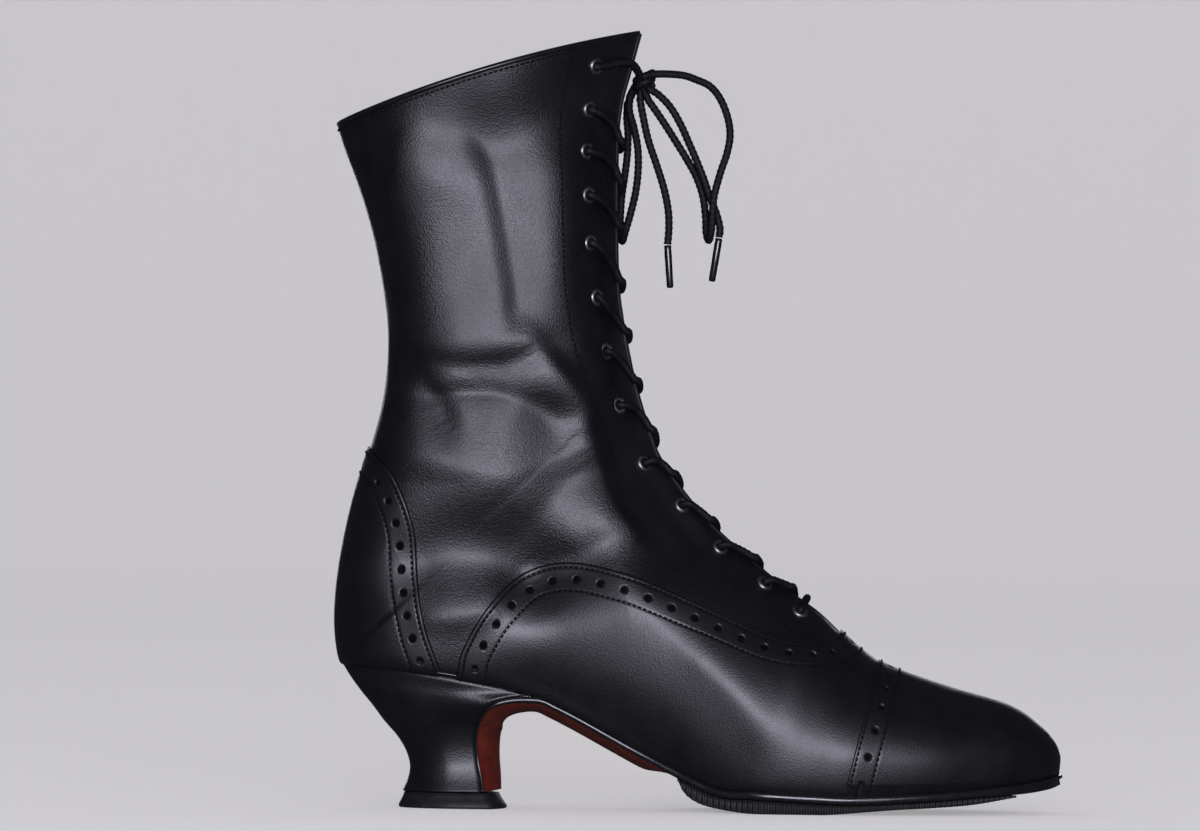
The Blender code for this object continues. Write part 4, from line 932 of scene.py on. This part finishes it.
# Black discs set in the holes: painted shade.
DISC_SIDES = 16
disc_turn = np.linspace(0, 2 * math.pi, DISC_SIDES, endpoint=False)
disc_rim = np.column_stack((np.cos(disc_turn), np.sin(disc_turn), np.zeros(DISC_SIDES))) * HOLE_RADIUS
disc = np.vstack((np.zeros((1, 3)), disc_rim))
disc_faces = [(0, k + 1, (k + 1) % DISC_SIDES + 1) for k in range(DISC_SIDES)]
shade_disc_blocks = [(set_on(disc, spot[:3], spot[3:]), disc_faces) for spot in painted_shade_discs]
finish_piece("painted_shade_discs", mesh_of("painted_shade_discs", *joined(shade_disc_blocks)), painted_hole_shade, None)

# %% [markdown]
# The facings carry one more row of stitching beside the eyelets, and the collar one below its bead. Every
# stitch is a small arched capsule that dips into the leather at both ends. There are over a thousand, so they
# are built as one array of points rather than as objects.

# %% Stitching
EYESTAY_ROW = (
    (-47.8, 273.4), (-49.1, 262.6), (-51.4, 243.8), (-52, 230.9), (-51.8, 215), (-51.2, 199.2), (-50.3, 184.8),
    (-48, 169), (-44.6, 155.4), (-39.8, 143.9), (-31.7, 128.1), (-27.2, 119.9), (-15.6, 109.2), (-4.7, 98.9),
    (1.5, 91.5), (13.2, 82.2), (22.3, 75.5), (31, 67), (33.6, 64.1),
)
STITCH_PITCH, STITCH_LONG, STITCH_RADIUS = 2.0, 1.55, 0.4
COLLAR_ROW_DOWN = 2.0
dense_row = even_line(EYESTAY_ROW, 1.0)
row_place, row_angle = on_upper(dense_row[:, 0], dense_row[:, 1])
collar_angle = np.linspace(0.25, math.pi, 160)
for side in SIDES:
    point, normal, _ = draped(row_place, side, row_angle, 0.06)
    stitch_rows.append(np.hstack((point, normal)))
    drop = np.linalg.norm(
        upper_point(LAST_ROW, side, collar_angle) - upper_point(LAST_ROW - 0.2, side, collar_angle), axis=1,
    )
    point, normal, _ = draped(LAST_ROW - 0.2 * COLLAR_ROW_DOWN / drop, side, collar_angle, 0.06)
    stitch_rows.append(np.hstack((point, normal)))


def stitches(rows):
    marks = [even_marks(row, STITCH_PITCH) for row in rows]
    runs = [unit(np.gradient(mark[:, :3], axis=0)) for mark in marks]
    marks, run = np.vstack(marks), np.vstack(runs)
    up = unit(marks[:, 3:])
    across = unit(np.cross(up, run))
    half = ((-0.5, 0.4, -0.25), (-0.4, 0.85, -0.02), (-0.15, 1.0, 0.08))     # along, width, rise
    shape = np.array(half + tuple((-along, width, rise) for along, width, rise in half[::-1]))
    turn = np.linspace(0, 2 * math.pi, 7, endpoint=False)
    local = np.array([
        (along * STITCH_LONG, math.cos(a) * width * STITCH_RADIUS, math.sin(a) * width * STITCH_RADIUS + rise)
        for along, width, rise in shape for a in turn
    ])
    points = marks[:, None, :3] + sum(
        local[None, :, k:k + 1] * axis[:, None] for k, axis in enumerate((run, across, up))
    )
    faces = grid_faces(len(shape), len(turn), closed=True)
    every = (faces[None] + (np.arange(len(marks)) * len(local))[:, None, None]).reshape(-1, 4)
    return mesh_of("stitching", points.reshape(-1, 3), every), len(marks)


stitch_mesh, stitch_count = stitches(stitch_rows)
finish_piece("stitching", stitch_mesh, black_thread, None)
print("stitches", stitch_count)

# %% [markdown]
# A rolled bead closes the collar, and the facings' edges are folded over. A bevel would need one thick wall,
# and here the wall is two sheets, so both are tubes along the rim between the outer sheet and the lining.

# %% Collar bead and facing edges
around = np.concatenate((np.linspace(0.0, math.pi, 180), np.linspace(math.pi, 0.0, 180)[1:]))
rim_sides = (np.arange(len(around)) >= 180).astype(int)
rim = np.array([
    upper_point(LAST_ROW, SIDES[s], a) - upper_normal(LAST_ROW, SIDES[s], a) * 0.75
    for s, a in zip(rim_sides, around)
])
points, faces = tube(even_marks(rim, 0.8), 1.0, 16)
finish_piece("collar_bead", mesh_of("collar_bead", points, faces), edge_calf, None)
edge_blocks = []
for side in SIDES:
    places = spaced_places(THROAT_ROW + 0.02, LAST_ROW, 1.0)
    line = upper_point(places, side, 0.0) - upper_normal(places, side, 0.1) * 0.9
    edge_blocks.append(tube(even_marks(line, 1.0), 1.05, 14))
facing_mesh = mesh_of("facing_edges", *joined(edge_blocks))
finish_piece("facing_edges", facing_mesh, facing_calf, None)
print("rim", round(float(np.linalg.norm(np.diff(rim, axis=0), axis=1).sum())), "mm")

# %% [markdown]
# Thirteen metal eyelets stand on each facing: a domed rim with a barrel that goes through the leather. A torus
# would lack the barrel, so one profile is turned and set on every spot, square to the leather there. All of
# them are one mesh, as they share a finish.

# %% Eyelets
EYELET_PROFILE = (
    (1.5, -2.2), (1.5, 0.2), (1.6, 0.55), (1.85, 0.8), (2.25, 0.88), (2.7, 0.72), (3.05, 0.36), (3.2, -0.05),
    (3.1, -0.3),
)
ring_points, ring_faces = turned(EYELET_PROFILE, 32)
eyelet_blocks = [
    (set_on(ring_points, centre, normal), ring_faces.tolist())
    for side in SIDES for centre, normal in zip(eyelet_centres[side], eyelet_normals[side])
]
eyelet_nodes = [f"eyelet_{name}_{k:02d}" for name in ("outer", "inner") for k in range(1, len(EYELETS) + 1)]
eyelet_mesh = mesh_of("eyelet_rings", *joined(eyelet_blocks))
finish_piece("eyelet_rings", eyelet_mesh, gunmetal, eyelet_nodes)
print("eyelets", len(eyelet_blocks))

# %% [markdown]
# The lace comes out of an eyelet, goes forward and down over the edge of its own facing, crosses the throat
# and goes up behind the other facing into the next eyelet below. The two runs of each pair cross in the
# throat, one over the other. The lowest pair is joined by a bar outside, and the top pair runs to the knot.

# %% Lace through the eyelets
def lifted(place, side, angle, height):
    return draped(place, side, angle, height)[0]


def out_of(side, number):
    """The start of a run: from behind the facing through an eyelet, and lying over its rim."""
    k = number - 1
    centre, normal = eyelet_centres[side][k], eyelet_normals[side][k]
    return [centre - normal * 3.2, centre - normal * 0.6, centre + normal * 1.2]


def into(side, number):
    """The end of a run: behind a facing up to an eyelet."""
    k = number - 1
    place, angle = eyelet_place[k], eyelet_angle[k]
    centre, normal = eyelet_centres[side][k], eyelet_normals[side][k]
    along = lifted(place - 0.05, side, angle * 0.72, -WALL - LACE - 0.2)
    return [along, centre - normal * (WALL + LACE + 0.3)]


# Over the facing: how far down, how far in, how far off the leather
RUN_ARCH = ((0.14, 0.88, 1.15), (0.38, 0.66, 0.75), (0.64, 0.44, 0.6), (0.88, 0.24, 0.55))


def lace_run(side, number):
    k = number - 1
    place, angle = eyelet_place[k], eyelet_angle[k]
    way = (eyelet_place[k + 1] - place) * float(np.interp(number, (6, 9, 11, 12), (1.0, 0.72, 0.68, 0.55)))
    edge_place = place + way * 1.06
    edge = upper_point(edge_place, side, 0.0)
    forward = edge - upper_point(edge_place, side, 0.6)
    forward[1] = 0
    forward = unit(forward)
    arch = [lifted(place + way * down, side, angle * inward, LACE + lift) for down, inward, lift in RUN_ARCH]
    lip = edge + forward * (LACE + 0.5) + np.array((0, side * 0.4, 0))
    row = section(place + way * 1.2)
    middle = np.array((row["front_x"], row["mid"], row["front_z"])) + forward * (0.7 if side < 0 else -2.0)
    behind = lifted(eyelet_place[k + 1] + 0.05, -side, 0.22, -WALL - LACE - 0.4)
    return [*out_of(side, number), *arch, lip, middle, behind, *into(-side, number + 1)]


def bar_run():
    ends = {side: out_of(side, len(EYELETS)) for side in SIDES}
    row = section(eyelet_place[-1])
    front = np.array((row["front_x"], row["mid"], row["front_z"]))
    top = front + np.array((0.6, 0, 0.4)) * (LACE + 1.2)
    shoulder = {side: ends[side][2] * 0.5 + top * 0.5 + np.array((0.2, 0, 0.3)) for side in SIDES}
    return [*ends[OUTER], shoulder[OUTER], top, shoulder[INNER], *ends[INNER][::-1]]


def knot_arm(side):
    brow = lifted(eyelet_place[0], side, 0.3, LACE + 1.3)
    knot = np.array(KNOT)
    return [*out_of(side, 1), brow, knot + (0, side * 3.0, 1.0), knot + (0, side * 0.5, 0.2)]


def braid_of(route):
    return tube(even_line(route, 0.34), LACE, 18, braid=BRAID_DEPTH)


for number in range(2, len(EYELETS)):
    run_name = f"lace_run_{number:02d}"
    run_mesh = mesh_of(run_name, *joined([braid_of(lace_run(side, number)) for side in SIDES]))
    finish_piece(run_name, run_mesh, lace_braid, [f"lace_crossing_{number:02d}"])
bar_mesh = mesh_of("lace_bar_braid", *braid_of(bar_run()))
finish_piece("lace_bar_braid", bar_mesh, lace_braid, ["lace_bar"])
print("lace runs over the throat", 2 * (len(EYELETS) - 2) + 1)

# %% [markdown]
# The knot is two turns of the same braid round the arms that come from the top eyelets, with short stubs to
# each loop and end. A real knot could be traced, but only its outside shows.

# %% Knot
turns = np.linspace(0.5 * math.pi, 4.6 * math.pi, 70)
wrap_heights = np.linspace(264.3, 259.6, 70) + 0.9 * np.sin(turns)
wrap = np.column_stack((KNOT[0] + 0.8 + 2.9 * np.sin(turns), 3.6 * np.cos(turns), wrap_heights))
heart = np.array(KNOT) + (0.6, 0, 1.6)
knot_blocks = [tube(even_marks(wrap, 0.34), LACE, 18, braid=BRAID_DEPTH)]
knot_blocks += [braid_of(knot_arm(side)) for side in SIDES]
for route in (np.array(route) for route in CORDS.values()):
    for first, second in ((route[0], route[1]), (route[-1], route[-2])):
        if np.linalg.norm(first - heart) < 15:
            half_way = heart * 0.5 + first * 0.5 + (first - second) * 0.25
            knot_blocks.append(braid_of([heart, half_way, first, first * 0.9 + second * 0.1]))
knot_mesh = mesh_of("lace_knot_braid", *joined(knot_blocks))
finish_piece("lace_knot_braid", knot_mesh, lace_braid, ["lace_knot"])
print("pieces of the knot", len(knot_blocks))

# %% [markdown]
# Behind the lace lies the tongue, a soft strip folded to the facings. It hangs a little further in than the
# lace's inner runs. A plane with a solidify modifier would cut into the facings, so its front and its back are
# both set off from the upper's own sections, and joined at the sides.

# %% Tongue
TONGUE = 1.4
TONGUE_CLEAR = WALL + 2 * LACE + 0.5
TONGUE_THROAT = 0.42       # nearer the front than this angle, the tongue goes straight across
tongue_places = np.concatenate((np.linspace(6.0, 12, 60), np.linspace(12.1, 26.5, 130)))
tongue_turn = np.linspace(-1.05, 1.05, 61)


def tongue_face(deep):
    """A grid of points behind both facings, straight across the throat between them."""
    grids = []
    row = section(tongue_places)
    run_x, run_z = row["back_x"] - row["front_x"], row["back_z"] - row["front_z"]
    run = unit(np.stack((run_x, np.zeros_like(run_x), run_z), -1))[:, None]
    angle = np.maximum(np.abs(tongue_turn), TONGUE_THROAT)[None]
    place = tongue_places[:, None]
    for side in SIDES:
        tangent = upper_point(place, side, angle + 0.01) - upper_point(place, side, angle - 0.01)
        depth_run, spread_run = (tangent * run).sum(-1), np.abs(tangent[..., 1])
        length = np.hypot(depth_run, spread_run)
        point = upper_point(place, side, angle) + run * (deep * spread_run / length)[..., None]
        point[..., 1] -= side * deep * depth_run / length
        grids.append(point)
    outer_edge, inner_edge = grids[0], grids[1]
    share = np.clip((tongue_turn + TONGUE_THROAT) / (2 * TONGUE_THROAT), 0, 1)[None, :, None]
    middle = outer_edge * (1 - share) + inner_edge * share
    turn = tongue_turn[None, :, None]
    return np.select([turn < -TONGUE_THROAT, turn > TONGUE_THROAT], [outer_edge, inner_edge], middle)


front_face, back_face = tongue_face(TONGUE_CLEAR), tongue_face(TONGUE_CLEAR + TONGUE)
tongue_ring = np.concatenate((front_face, back_face[:, ::-1]), axis=1)
tongue_faces = grid_faces(*tongue_ring.shape[:2], closed=True)
tongue_mesh = mesh_of("tongue_leather", tongue_ring.reshape(-1, 3), tongue_faces)
finish_piece("tongue_leather", tongue_mesh, shaft_calf, ["tongue"])
print("tongue", len(tongue_mesh.vertices))

# %% [markdown]
# Underneath, a leather sole runs from the toe through the arched waist and down the front of the heel. Its
# edge is blacked and polished and its face under the arch is red-brown and crowned. It could be cut from a
# solid block, but it follows the upper's lower edge, so first come the lines that it is hung on: that edge,
# the sole's direction along the foot, and the front corners of the heel.

# %% Lines of the sole and heel
HEEL_COLUMNS = ("back_x", "back_z", "breast_x", "breast_z", "half", "swell")
HEEL_LEVELS = (
    (-105.9, 5.9, -77.7, 5.9, 17.4, 4.6), (-104.1, 10.3, -78.4, 11.0, 16.0, 4.9),
    (-103.4, 14.9, -79.5, 16.5, 15.3, 5.3), (-104.9, 20.3, -80.2, 22.5, 15.8, 5.6),
    (-108.2, 25.7, -80.0, 28.0, 17.4, 5.6), (-112.9, 31.0, -78.8, 32.5, 19.5, 5.2),
    (-117.0, 36.4, -76.4, 36.4, 21.4, 4.2), (-121.4, 41.7, -72.0, 39.2, 22.8, 2.6),
    (-125.4, 47.1, -66.5, 40.5, 23.6, 1.0), (-128.6, 52.3, -60.9, 40.9, 24.6, 0.0),
)
HEEL_TOP = len(HEEL_LEVELS) - 1
WAIST_EDGE, SOLE_EDGE, WAIST_CROWN = 0.9, 2.6, 3.6
WAIST_THICK, SOLE_THICK, TOE_THICK = 2.3, 3.0, 3.7
FLAP_THICK, FLAP_CROWN, FLAP_LEVEL = 0.9, 1.6, 4
GAP = 0.3


def ramp(x, low, high):
    return float(soft_step((x - low) / (high - low)))


def feather_line(place, side):
    row = section(place)
    half = row["outer"] if side < 0 else row["inner"]
    return np.array((row["back_x"], row["mid"] + side * half * row["seat"], row["back_z"]))


def sole_edge(place, side, out):
    """The line where the upper meets the sole, moved outwards in plan."""
    here = feather_line(place, side)
    if place < 0.02:
        return here + (out, 0, 0)
    run = feather_line(place + 0.02, side) - feather_line(place - 0.02, side)
    return here + np.array((-run[1] * side, run[0] * side, 0)) * (-out / math.hypot(run[0], run[1]))


DENSE_PLACES = np.linspace(0, HEEL_ROW, 800)
DENSE_BACK = -section(DENSE_PLACES)["back_x"]


def place_at_back_x(x):
    return float(np.interp(-x, DENSE_BACK, DENSE_PLACES))


def sole_normal(place):
    first, second = section(max(place - 0.05, 0)), section(place + 0.05)
    run = unit(np.array((second["back_x"] - first["back_x"], 0, second["back_z"] - first["back_z"])))
    return np.array((run[2], 0, -run[0])) * (1 if run[0] > 0 else -1)


def sole_bottom(place):
    x = float(section(place)["back_x"])
    fore = ramp(x, -30.0, 15.0)
    crown = WAIST_CROWN * (1 - ramp(x, -18.0, -6.0))
    thickness = WAIST_THICK + (SOLE_THICK - WAIST_THICK) * fore
    thickness += (TOE_THICK - SOLE_THICK) * ramp(x, 95.0, 120.0)
    return WAIST_EDGE + (SOLE_EDGE - WAIST_EDGE) * fore, thickness, crown


def heel_level(place):
    level = dict(zip(HEEL_COLUMNS, smooth_table(HEEL_LEVELS, np.float64(place))))
    level["place"] = place
    return level


def breast_normal(place):
    first, second = heel_level(max(place - 0.05, 0)), heel_level(min(place + 0.05, HEEL_TOP))
    run = unit(np.array((second["breast_x"] - first["breast_x"], 0, second["breast_z"] - first["breast_z"])))
    return np.array((run[2], 0, -run[0]))


def breast_edge(level, side):
    half = level["half"] * 0.93
    feather = abs(feather_line(place_at_back_x(level["breast_x"]), side)[1]) + WAIST_EDGE
    spread = half + (feather - half) * ramp(level["breast_z"], 30.0, 41.0)
    return np.array((level["breast_x"], side * spread, level["breast_z"]))


print("heel seat ends at", np.round(feather_line(HEEL_ROW, OUTER), 1).tolist())

# %% [markdown]
# A ring across the sole has an inner face, a rounded edge, a crowned outer face and the other rounded edge. The
# rings of the waist lie across the foot. From the arch on they turn and run down the front of the heel, where
# the sole becomes a thin flap. A smooth curve through the rings takes the turn without a crease.

# %% Rings of the sole
ACROSS = np.linspace(0, 1, 17)
EDGE_TURN = np.linspace(0, math.pi, 7)[1:-1]


def sole_ring(edge_a, edge_b, normal, inner_crown, thickness, outer_crown):
    """A ring across the sole: inner face, rounded edge, outer face, rounded edge."""
    swell = 1 - (2 * ACROSS - 1) ** 2
    line = edge_a + (edge_b - edge_a) * ACROSS[:, None]
    inner = line + normal * (GAP + inner_crown * swell)[:, None]
    outer = inner + normal * (thickness + outer_crown * swell)[:, None]
    out_b = unit(edge_b - edge_a)
    bulge = min(thickness * 0.32, 0.8)

    def rounded(start, end, out):
        share = (1 - np.cos(EDGE_TURN)) / 2
        return start + (end - start) * share[:, None] + out * (np.sin(EDGE_TURN) * bulge - bulge)[:, None]

    inner[0] += out_b * bulge
    inner[-1] -= out_b * bulge
    outer[0] += out_b * bulge
    outer[-1] -= out_b * bulge
    edge_at_b = rounded(inner[-1], outer[-1], out_b) + out_b * bulge
    edge_at_a = rounded(outer[0], inner[0], -out_b) - out_b * bulge
    return np.vstack((inner, edge_at_b, outer[::-1], edge_at_a))


def waist_ring(place):
    reach, thickness, crown = sole_bottom(place)
    edges = [sole_edge(place, side, reach) for side in SIDES]
    ring = sole_ring(*edges, sole_normal(place), 0.0, thickness, crown)
    ring[len(ACROSS) + 2:-2, 0] -= TOE_TUCK * (1 - float(soft_step(place / 1.5)))
    return ring


def flap_ring(place):
    level = heel_level(place)
    rise = max(place - FLAP_LEVEL, 0) / (HEEL_TOP - FLAP_LEVEL)
    thickness = FLAP_THICK + (WAIST_THICK - FLAP_THICK) * rise
    crown = FLAP_CROWN + (WAIST_CROWN - FLAP_CROWN) * place / HEEL_TOP
    edges = [breast_edge(level, side) for side in SIDES]
    return sole_ring(*edges, breast_normal(place), level["swell"], thickness, crown)


def through(keys, steps):
    """More rings on smooth curves through a few."""
    keys = np.array(keys)
    places = np.linspace(0, len(keys) - 1, steps * (len(keys) - 1) + 1)
    dense = smooth_table(keys.reshape(len(keys), -1), places)
    return list(dense.reshape(-1, *keys.shape[1:]))


TOE_TUCK = 1.3         # how far the sole's lower edge is drawn in at the toe
ARCH_START = -46.0     # from here the waist turns into the flap
fore_places = np.concatenate((np.linspace(0.002, 3, 60), np.linspace(3.05, place_at_back_x(ARCH_START), 130)))
arch_places = [place_at_back_x(x) for x in (-36.0, -41.0, ARCH_START, -51.0, -56.0)]
flap_places = (8.45, 7.6, 6.8, 6.0, 5.0, 4.0, 3.0, 2.0, 1.0, 0.0)
ARCH_STEPS = 8
arch = through([waist_ring(p) for p in arch_places] + [flap_ring(p) for p in flap_places], ARCH_STEPS)
rings = [waist_ring(place) for place in fore_places] + arch[2 * ARCH_STEPS + 1:]


print("rings of the sole", len(rings))

# %% [markdown]
# The rings are joined into one closed body. Only the faces between the rounded edges get the red-brown leather,
# so the boundary between the two finishes runs along the edge, as it does where a maker stops the blacking.

# %% Outsole
def loft_mesh(name, rings):
    """A closed body through rings, with its ends filled."""
    count = len(rings[0])
    faces = grid_faces(len(rings), count, closed=True).tolist()
    last = (len(rings) - 1) * count
    faces += [list(range(count))[::-1], list(range(last, last + count))]
    mesh = mesh_of(name, np.vstack(rings), faces)
    work = bmesh.new()
    work.from_mesh(mesh)
    bmesh.ops.recalc_face_normals(work, faces=work.faces)
    work.to_mesh(mesh)
    work.free()
    return mesh


outsole_mesh = loft_mesh("outsole_leather", rings)
finish_piece("outsole_leather", outsole_mesh, edge_polish, ["outsole"])
outsole_mesh.materials.append(red_leather)
ring_size, inner_size = len(rings[0]), len(ACROSS)
first_outer = inner_size + len(EDGE_TURN)
for polygon in outsole_mesh.polygons:
    if polygon.loop_total == 4:
        spots = [index % ring_size for index in polygon.vertices]
        polygon.material_index = int(min(spots) >= first_outer and max(spots) <= first_outer + inner_size - 1)
print("outsole rings", len(rings))

# %% [markdown]
# A thin black rubber half sole is stuck under the forepart. Its side is ribbed upright. A bump wouldn't show in
# the outline, so each ring across the foot is drawn in or out by a rounded wave along the foot.

# %% Half sole
TREAD = (
    (-5.5, 11.4), (-2.6, 6.6), (2.2, 3.4), (9.0, 1.5), (18.0, 0.2), (30.0, 0.0), (45.0, 0.0), (69.0, 1.9),
    (84.0, 2.8), (98.0, 4.0), (113.0, 6.6),
)
RIB_PITCH, RIB_DEPTH = 1.9, 0.8
tread = even_line(TREAD, 0.5)
rings = []
for x in np.arange(tread[0, 0], tread[-1, 0] + 0.01, RIB_PITCH / 8):
    place = place_at_back_x(x)
    reach, thickness, _ = sole_bottom(place)
    wave = 0.5 - 0.5 * math.cos(2 * math.pi * x / RIB_PITCH)
    normal = sole_normal(place)
    low = max(float(np.interp(x, tread[:, 0], tread[:, 1])), 0.0)
    sides = []
    for side in SIDES:
        ribbed = sole_edge(place, side, reach - RIB_DEPTH * wave**0.7) + normal * (thickness + 2 * GAP)
        inward = sole_edge(place, side, reach - 3.5) + normal * (thickness + 2 * GAP)
        low_here = min(low, ribbed[2] - 0.4)
        drop = ribbed[2] - low_here
        sides.append([
            inward, ribbed, ribbed - (0, 0, drop * 0.4), ribbed - (0, 0, drop - 0.35),
            np.array((ribbed[0], ribbed[1] - side * 0.3, low_here)), np.array((inward[0], inward[1], low_here)),
        ])
    rings.append(np.vstack((sides[0][::-1], sides[1])))
half_sole_mesh = loft_mesh("half_sole_rubber", rings)
finish_piece("half_sole_rubber", half_sole_mesh, black_rubber, ["half_sole"])
print("half sole rings", len(rings))

# %% [markdown]
# The heel is a spool: wide where the foot sits, waisted, and flared again at its tread. It is covered in the
# same calf, closed at the breast edge. It isn't round, so it can't be turned: it is lofted through level rings
# with a flat breast. A rubber top lift stands under it, and a thin bead runs round the seat.

# %% Heel, top lift and seat bead
HEEL_STEPS = 36


def heel_ring(level, across=ACROSS[1:-1]):
    corners = {side: breast_edge(level, side) for side in SIDES}
    back = np.array((level["back_x"], 0, level["back_z"]))
    ring = []
    for turn in np.linspace(-math.pi / 2, math.pi / 2, 2 * HEEL_STEPS + 1):
        side = OUTER if turn < 0 else INNER
        corner = corners[side]
        share = max(math.cos(turn), 0.0) ** 0.9 if abs(turn) < math.pi / 2 - 1e-6 else 0.0
        centre = np.array((corner[0], 0, corner[2]))
        widest = level["half"] * (1 - 0.1 * (1 - share) ** 3)
        spread = abs(corner[1]) + (widest - abs(corner[1])) * min(share * 2.2, 1.0)
        point = centre + (back - centre) * share
        point[1] = side * spread * abs(math.sin(turn)) ** 0.8 if share > 0 else corner[1]
        ring.append(point)
    normal = breast_normal(level["place"])
    for share in across[::-1]:
        swell = level["swell"] * (1 - (2 * share - 1) ** 2)
        ring.append(corners[OUTER] + (corners[INNER] - corners[OUTER]) * share + normal * swell)
    return np.array(ring)


heel_rings = [heel_ring(heel_level(place)) for place in np.linspace(0, HEEL_TOP, 70)]
seat_top = heel_rings[-1].copy()
feather_height = np.interp(-seat_top[:, 0], DENSE_BACK, section(DENSE_PLACES)["back_z"]) - 0.1
seat_top[:, 2] += (feather_height - seat_top[:, 2]) * soft_step((-seat_top[:, 0] - 64.0) / 8.0)
heel_rings.append(seat_top)
finish_piece("heel_cover", loft_mesh("heel_cover", heel_rings), heel_calf, ["heel"])
LIFT_RINGS = ((5.6, 1.03), (5.5, 1.045), (4.4, 1.07), (2.6, 1.13), (1.0, 1.19), (0.3, 1.185), (0.0, 1.16))
lowest = heel_ring(heel_level(0.0))
centre = lowest.mean(0)
lift_rings = []
for height, spread in LIFT_RINGS:
    ring = centre + (lowest - centre) * spread + (1.2, 0, 0)
    ring[:, 2] = height
    lift_rings.append(ring)
finish_piece("top_lift_rubber", loft_mesh("top_lift_rubber", lift_rings), black_rubber, ["top_lift"])
seat_places = np.linspace(10.8, HEEL_ROW - 0.01, 120)
seat = [sole_edge(p, OUTER, 0.5) for p in seat_places] + [sole_edge(p, INNER, 0.5) for p in seat_places[::-1]]
points, faces = tube(even_marks(np.array(seat), 0.7), 0.55, 10)
finish_piece("seat_bead", mesh_of("seat_bead", points, faces), edge_polish, None)
print("heel rings", len(heel_rings))

# %% [markdown]
# Inside, a leather sock covers the insole board. It could be padded, but little of it shows, so it is a plain
# board along the sole's own lines, with the lining's grain.

# %% Insole
rings = []
for place in np.concatenate((np.linspace(0.3, 3, 20), np.linspace(3.2, 14, 70), np.linspace(14.1, 14.9, 8))):
    normal = sole_normal(place)
    edges = [sole_edge(place, side, -2.8) for side in SIDES]
    line = edges[0] + (edges[1] - edges[0]) * np.linspace(0, 1, 9)[:, None]
    rings.append(np.vstack((line - normal * GAP, line[::-1] - normal * (GAP + 2.2))))
finish_piece("insole_sock", loft_mesh("insole_sock", rings), brown_lining, ["insole"])
print("insole rings", len(rings))

# %% [markdown]
# Last, the scene is brought up to date.

# %% Update the scene
bpy.context.view_layer.update()
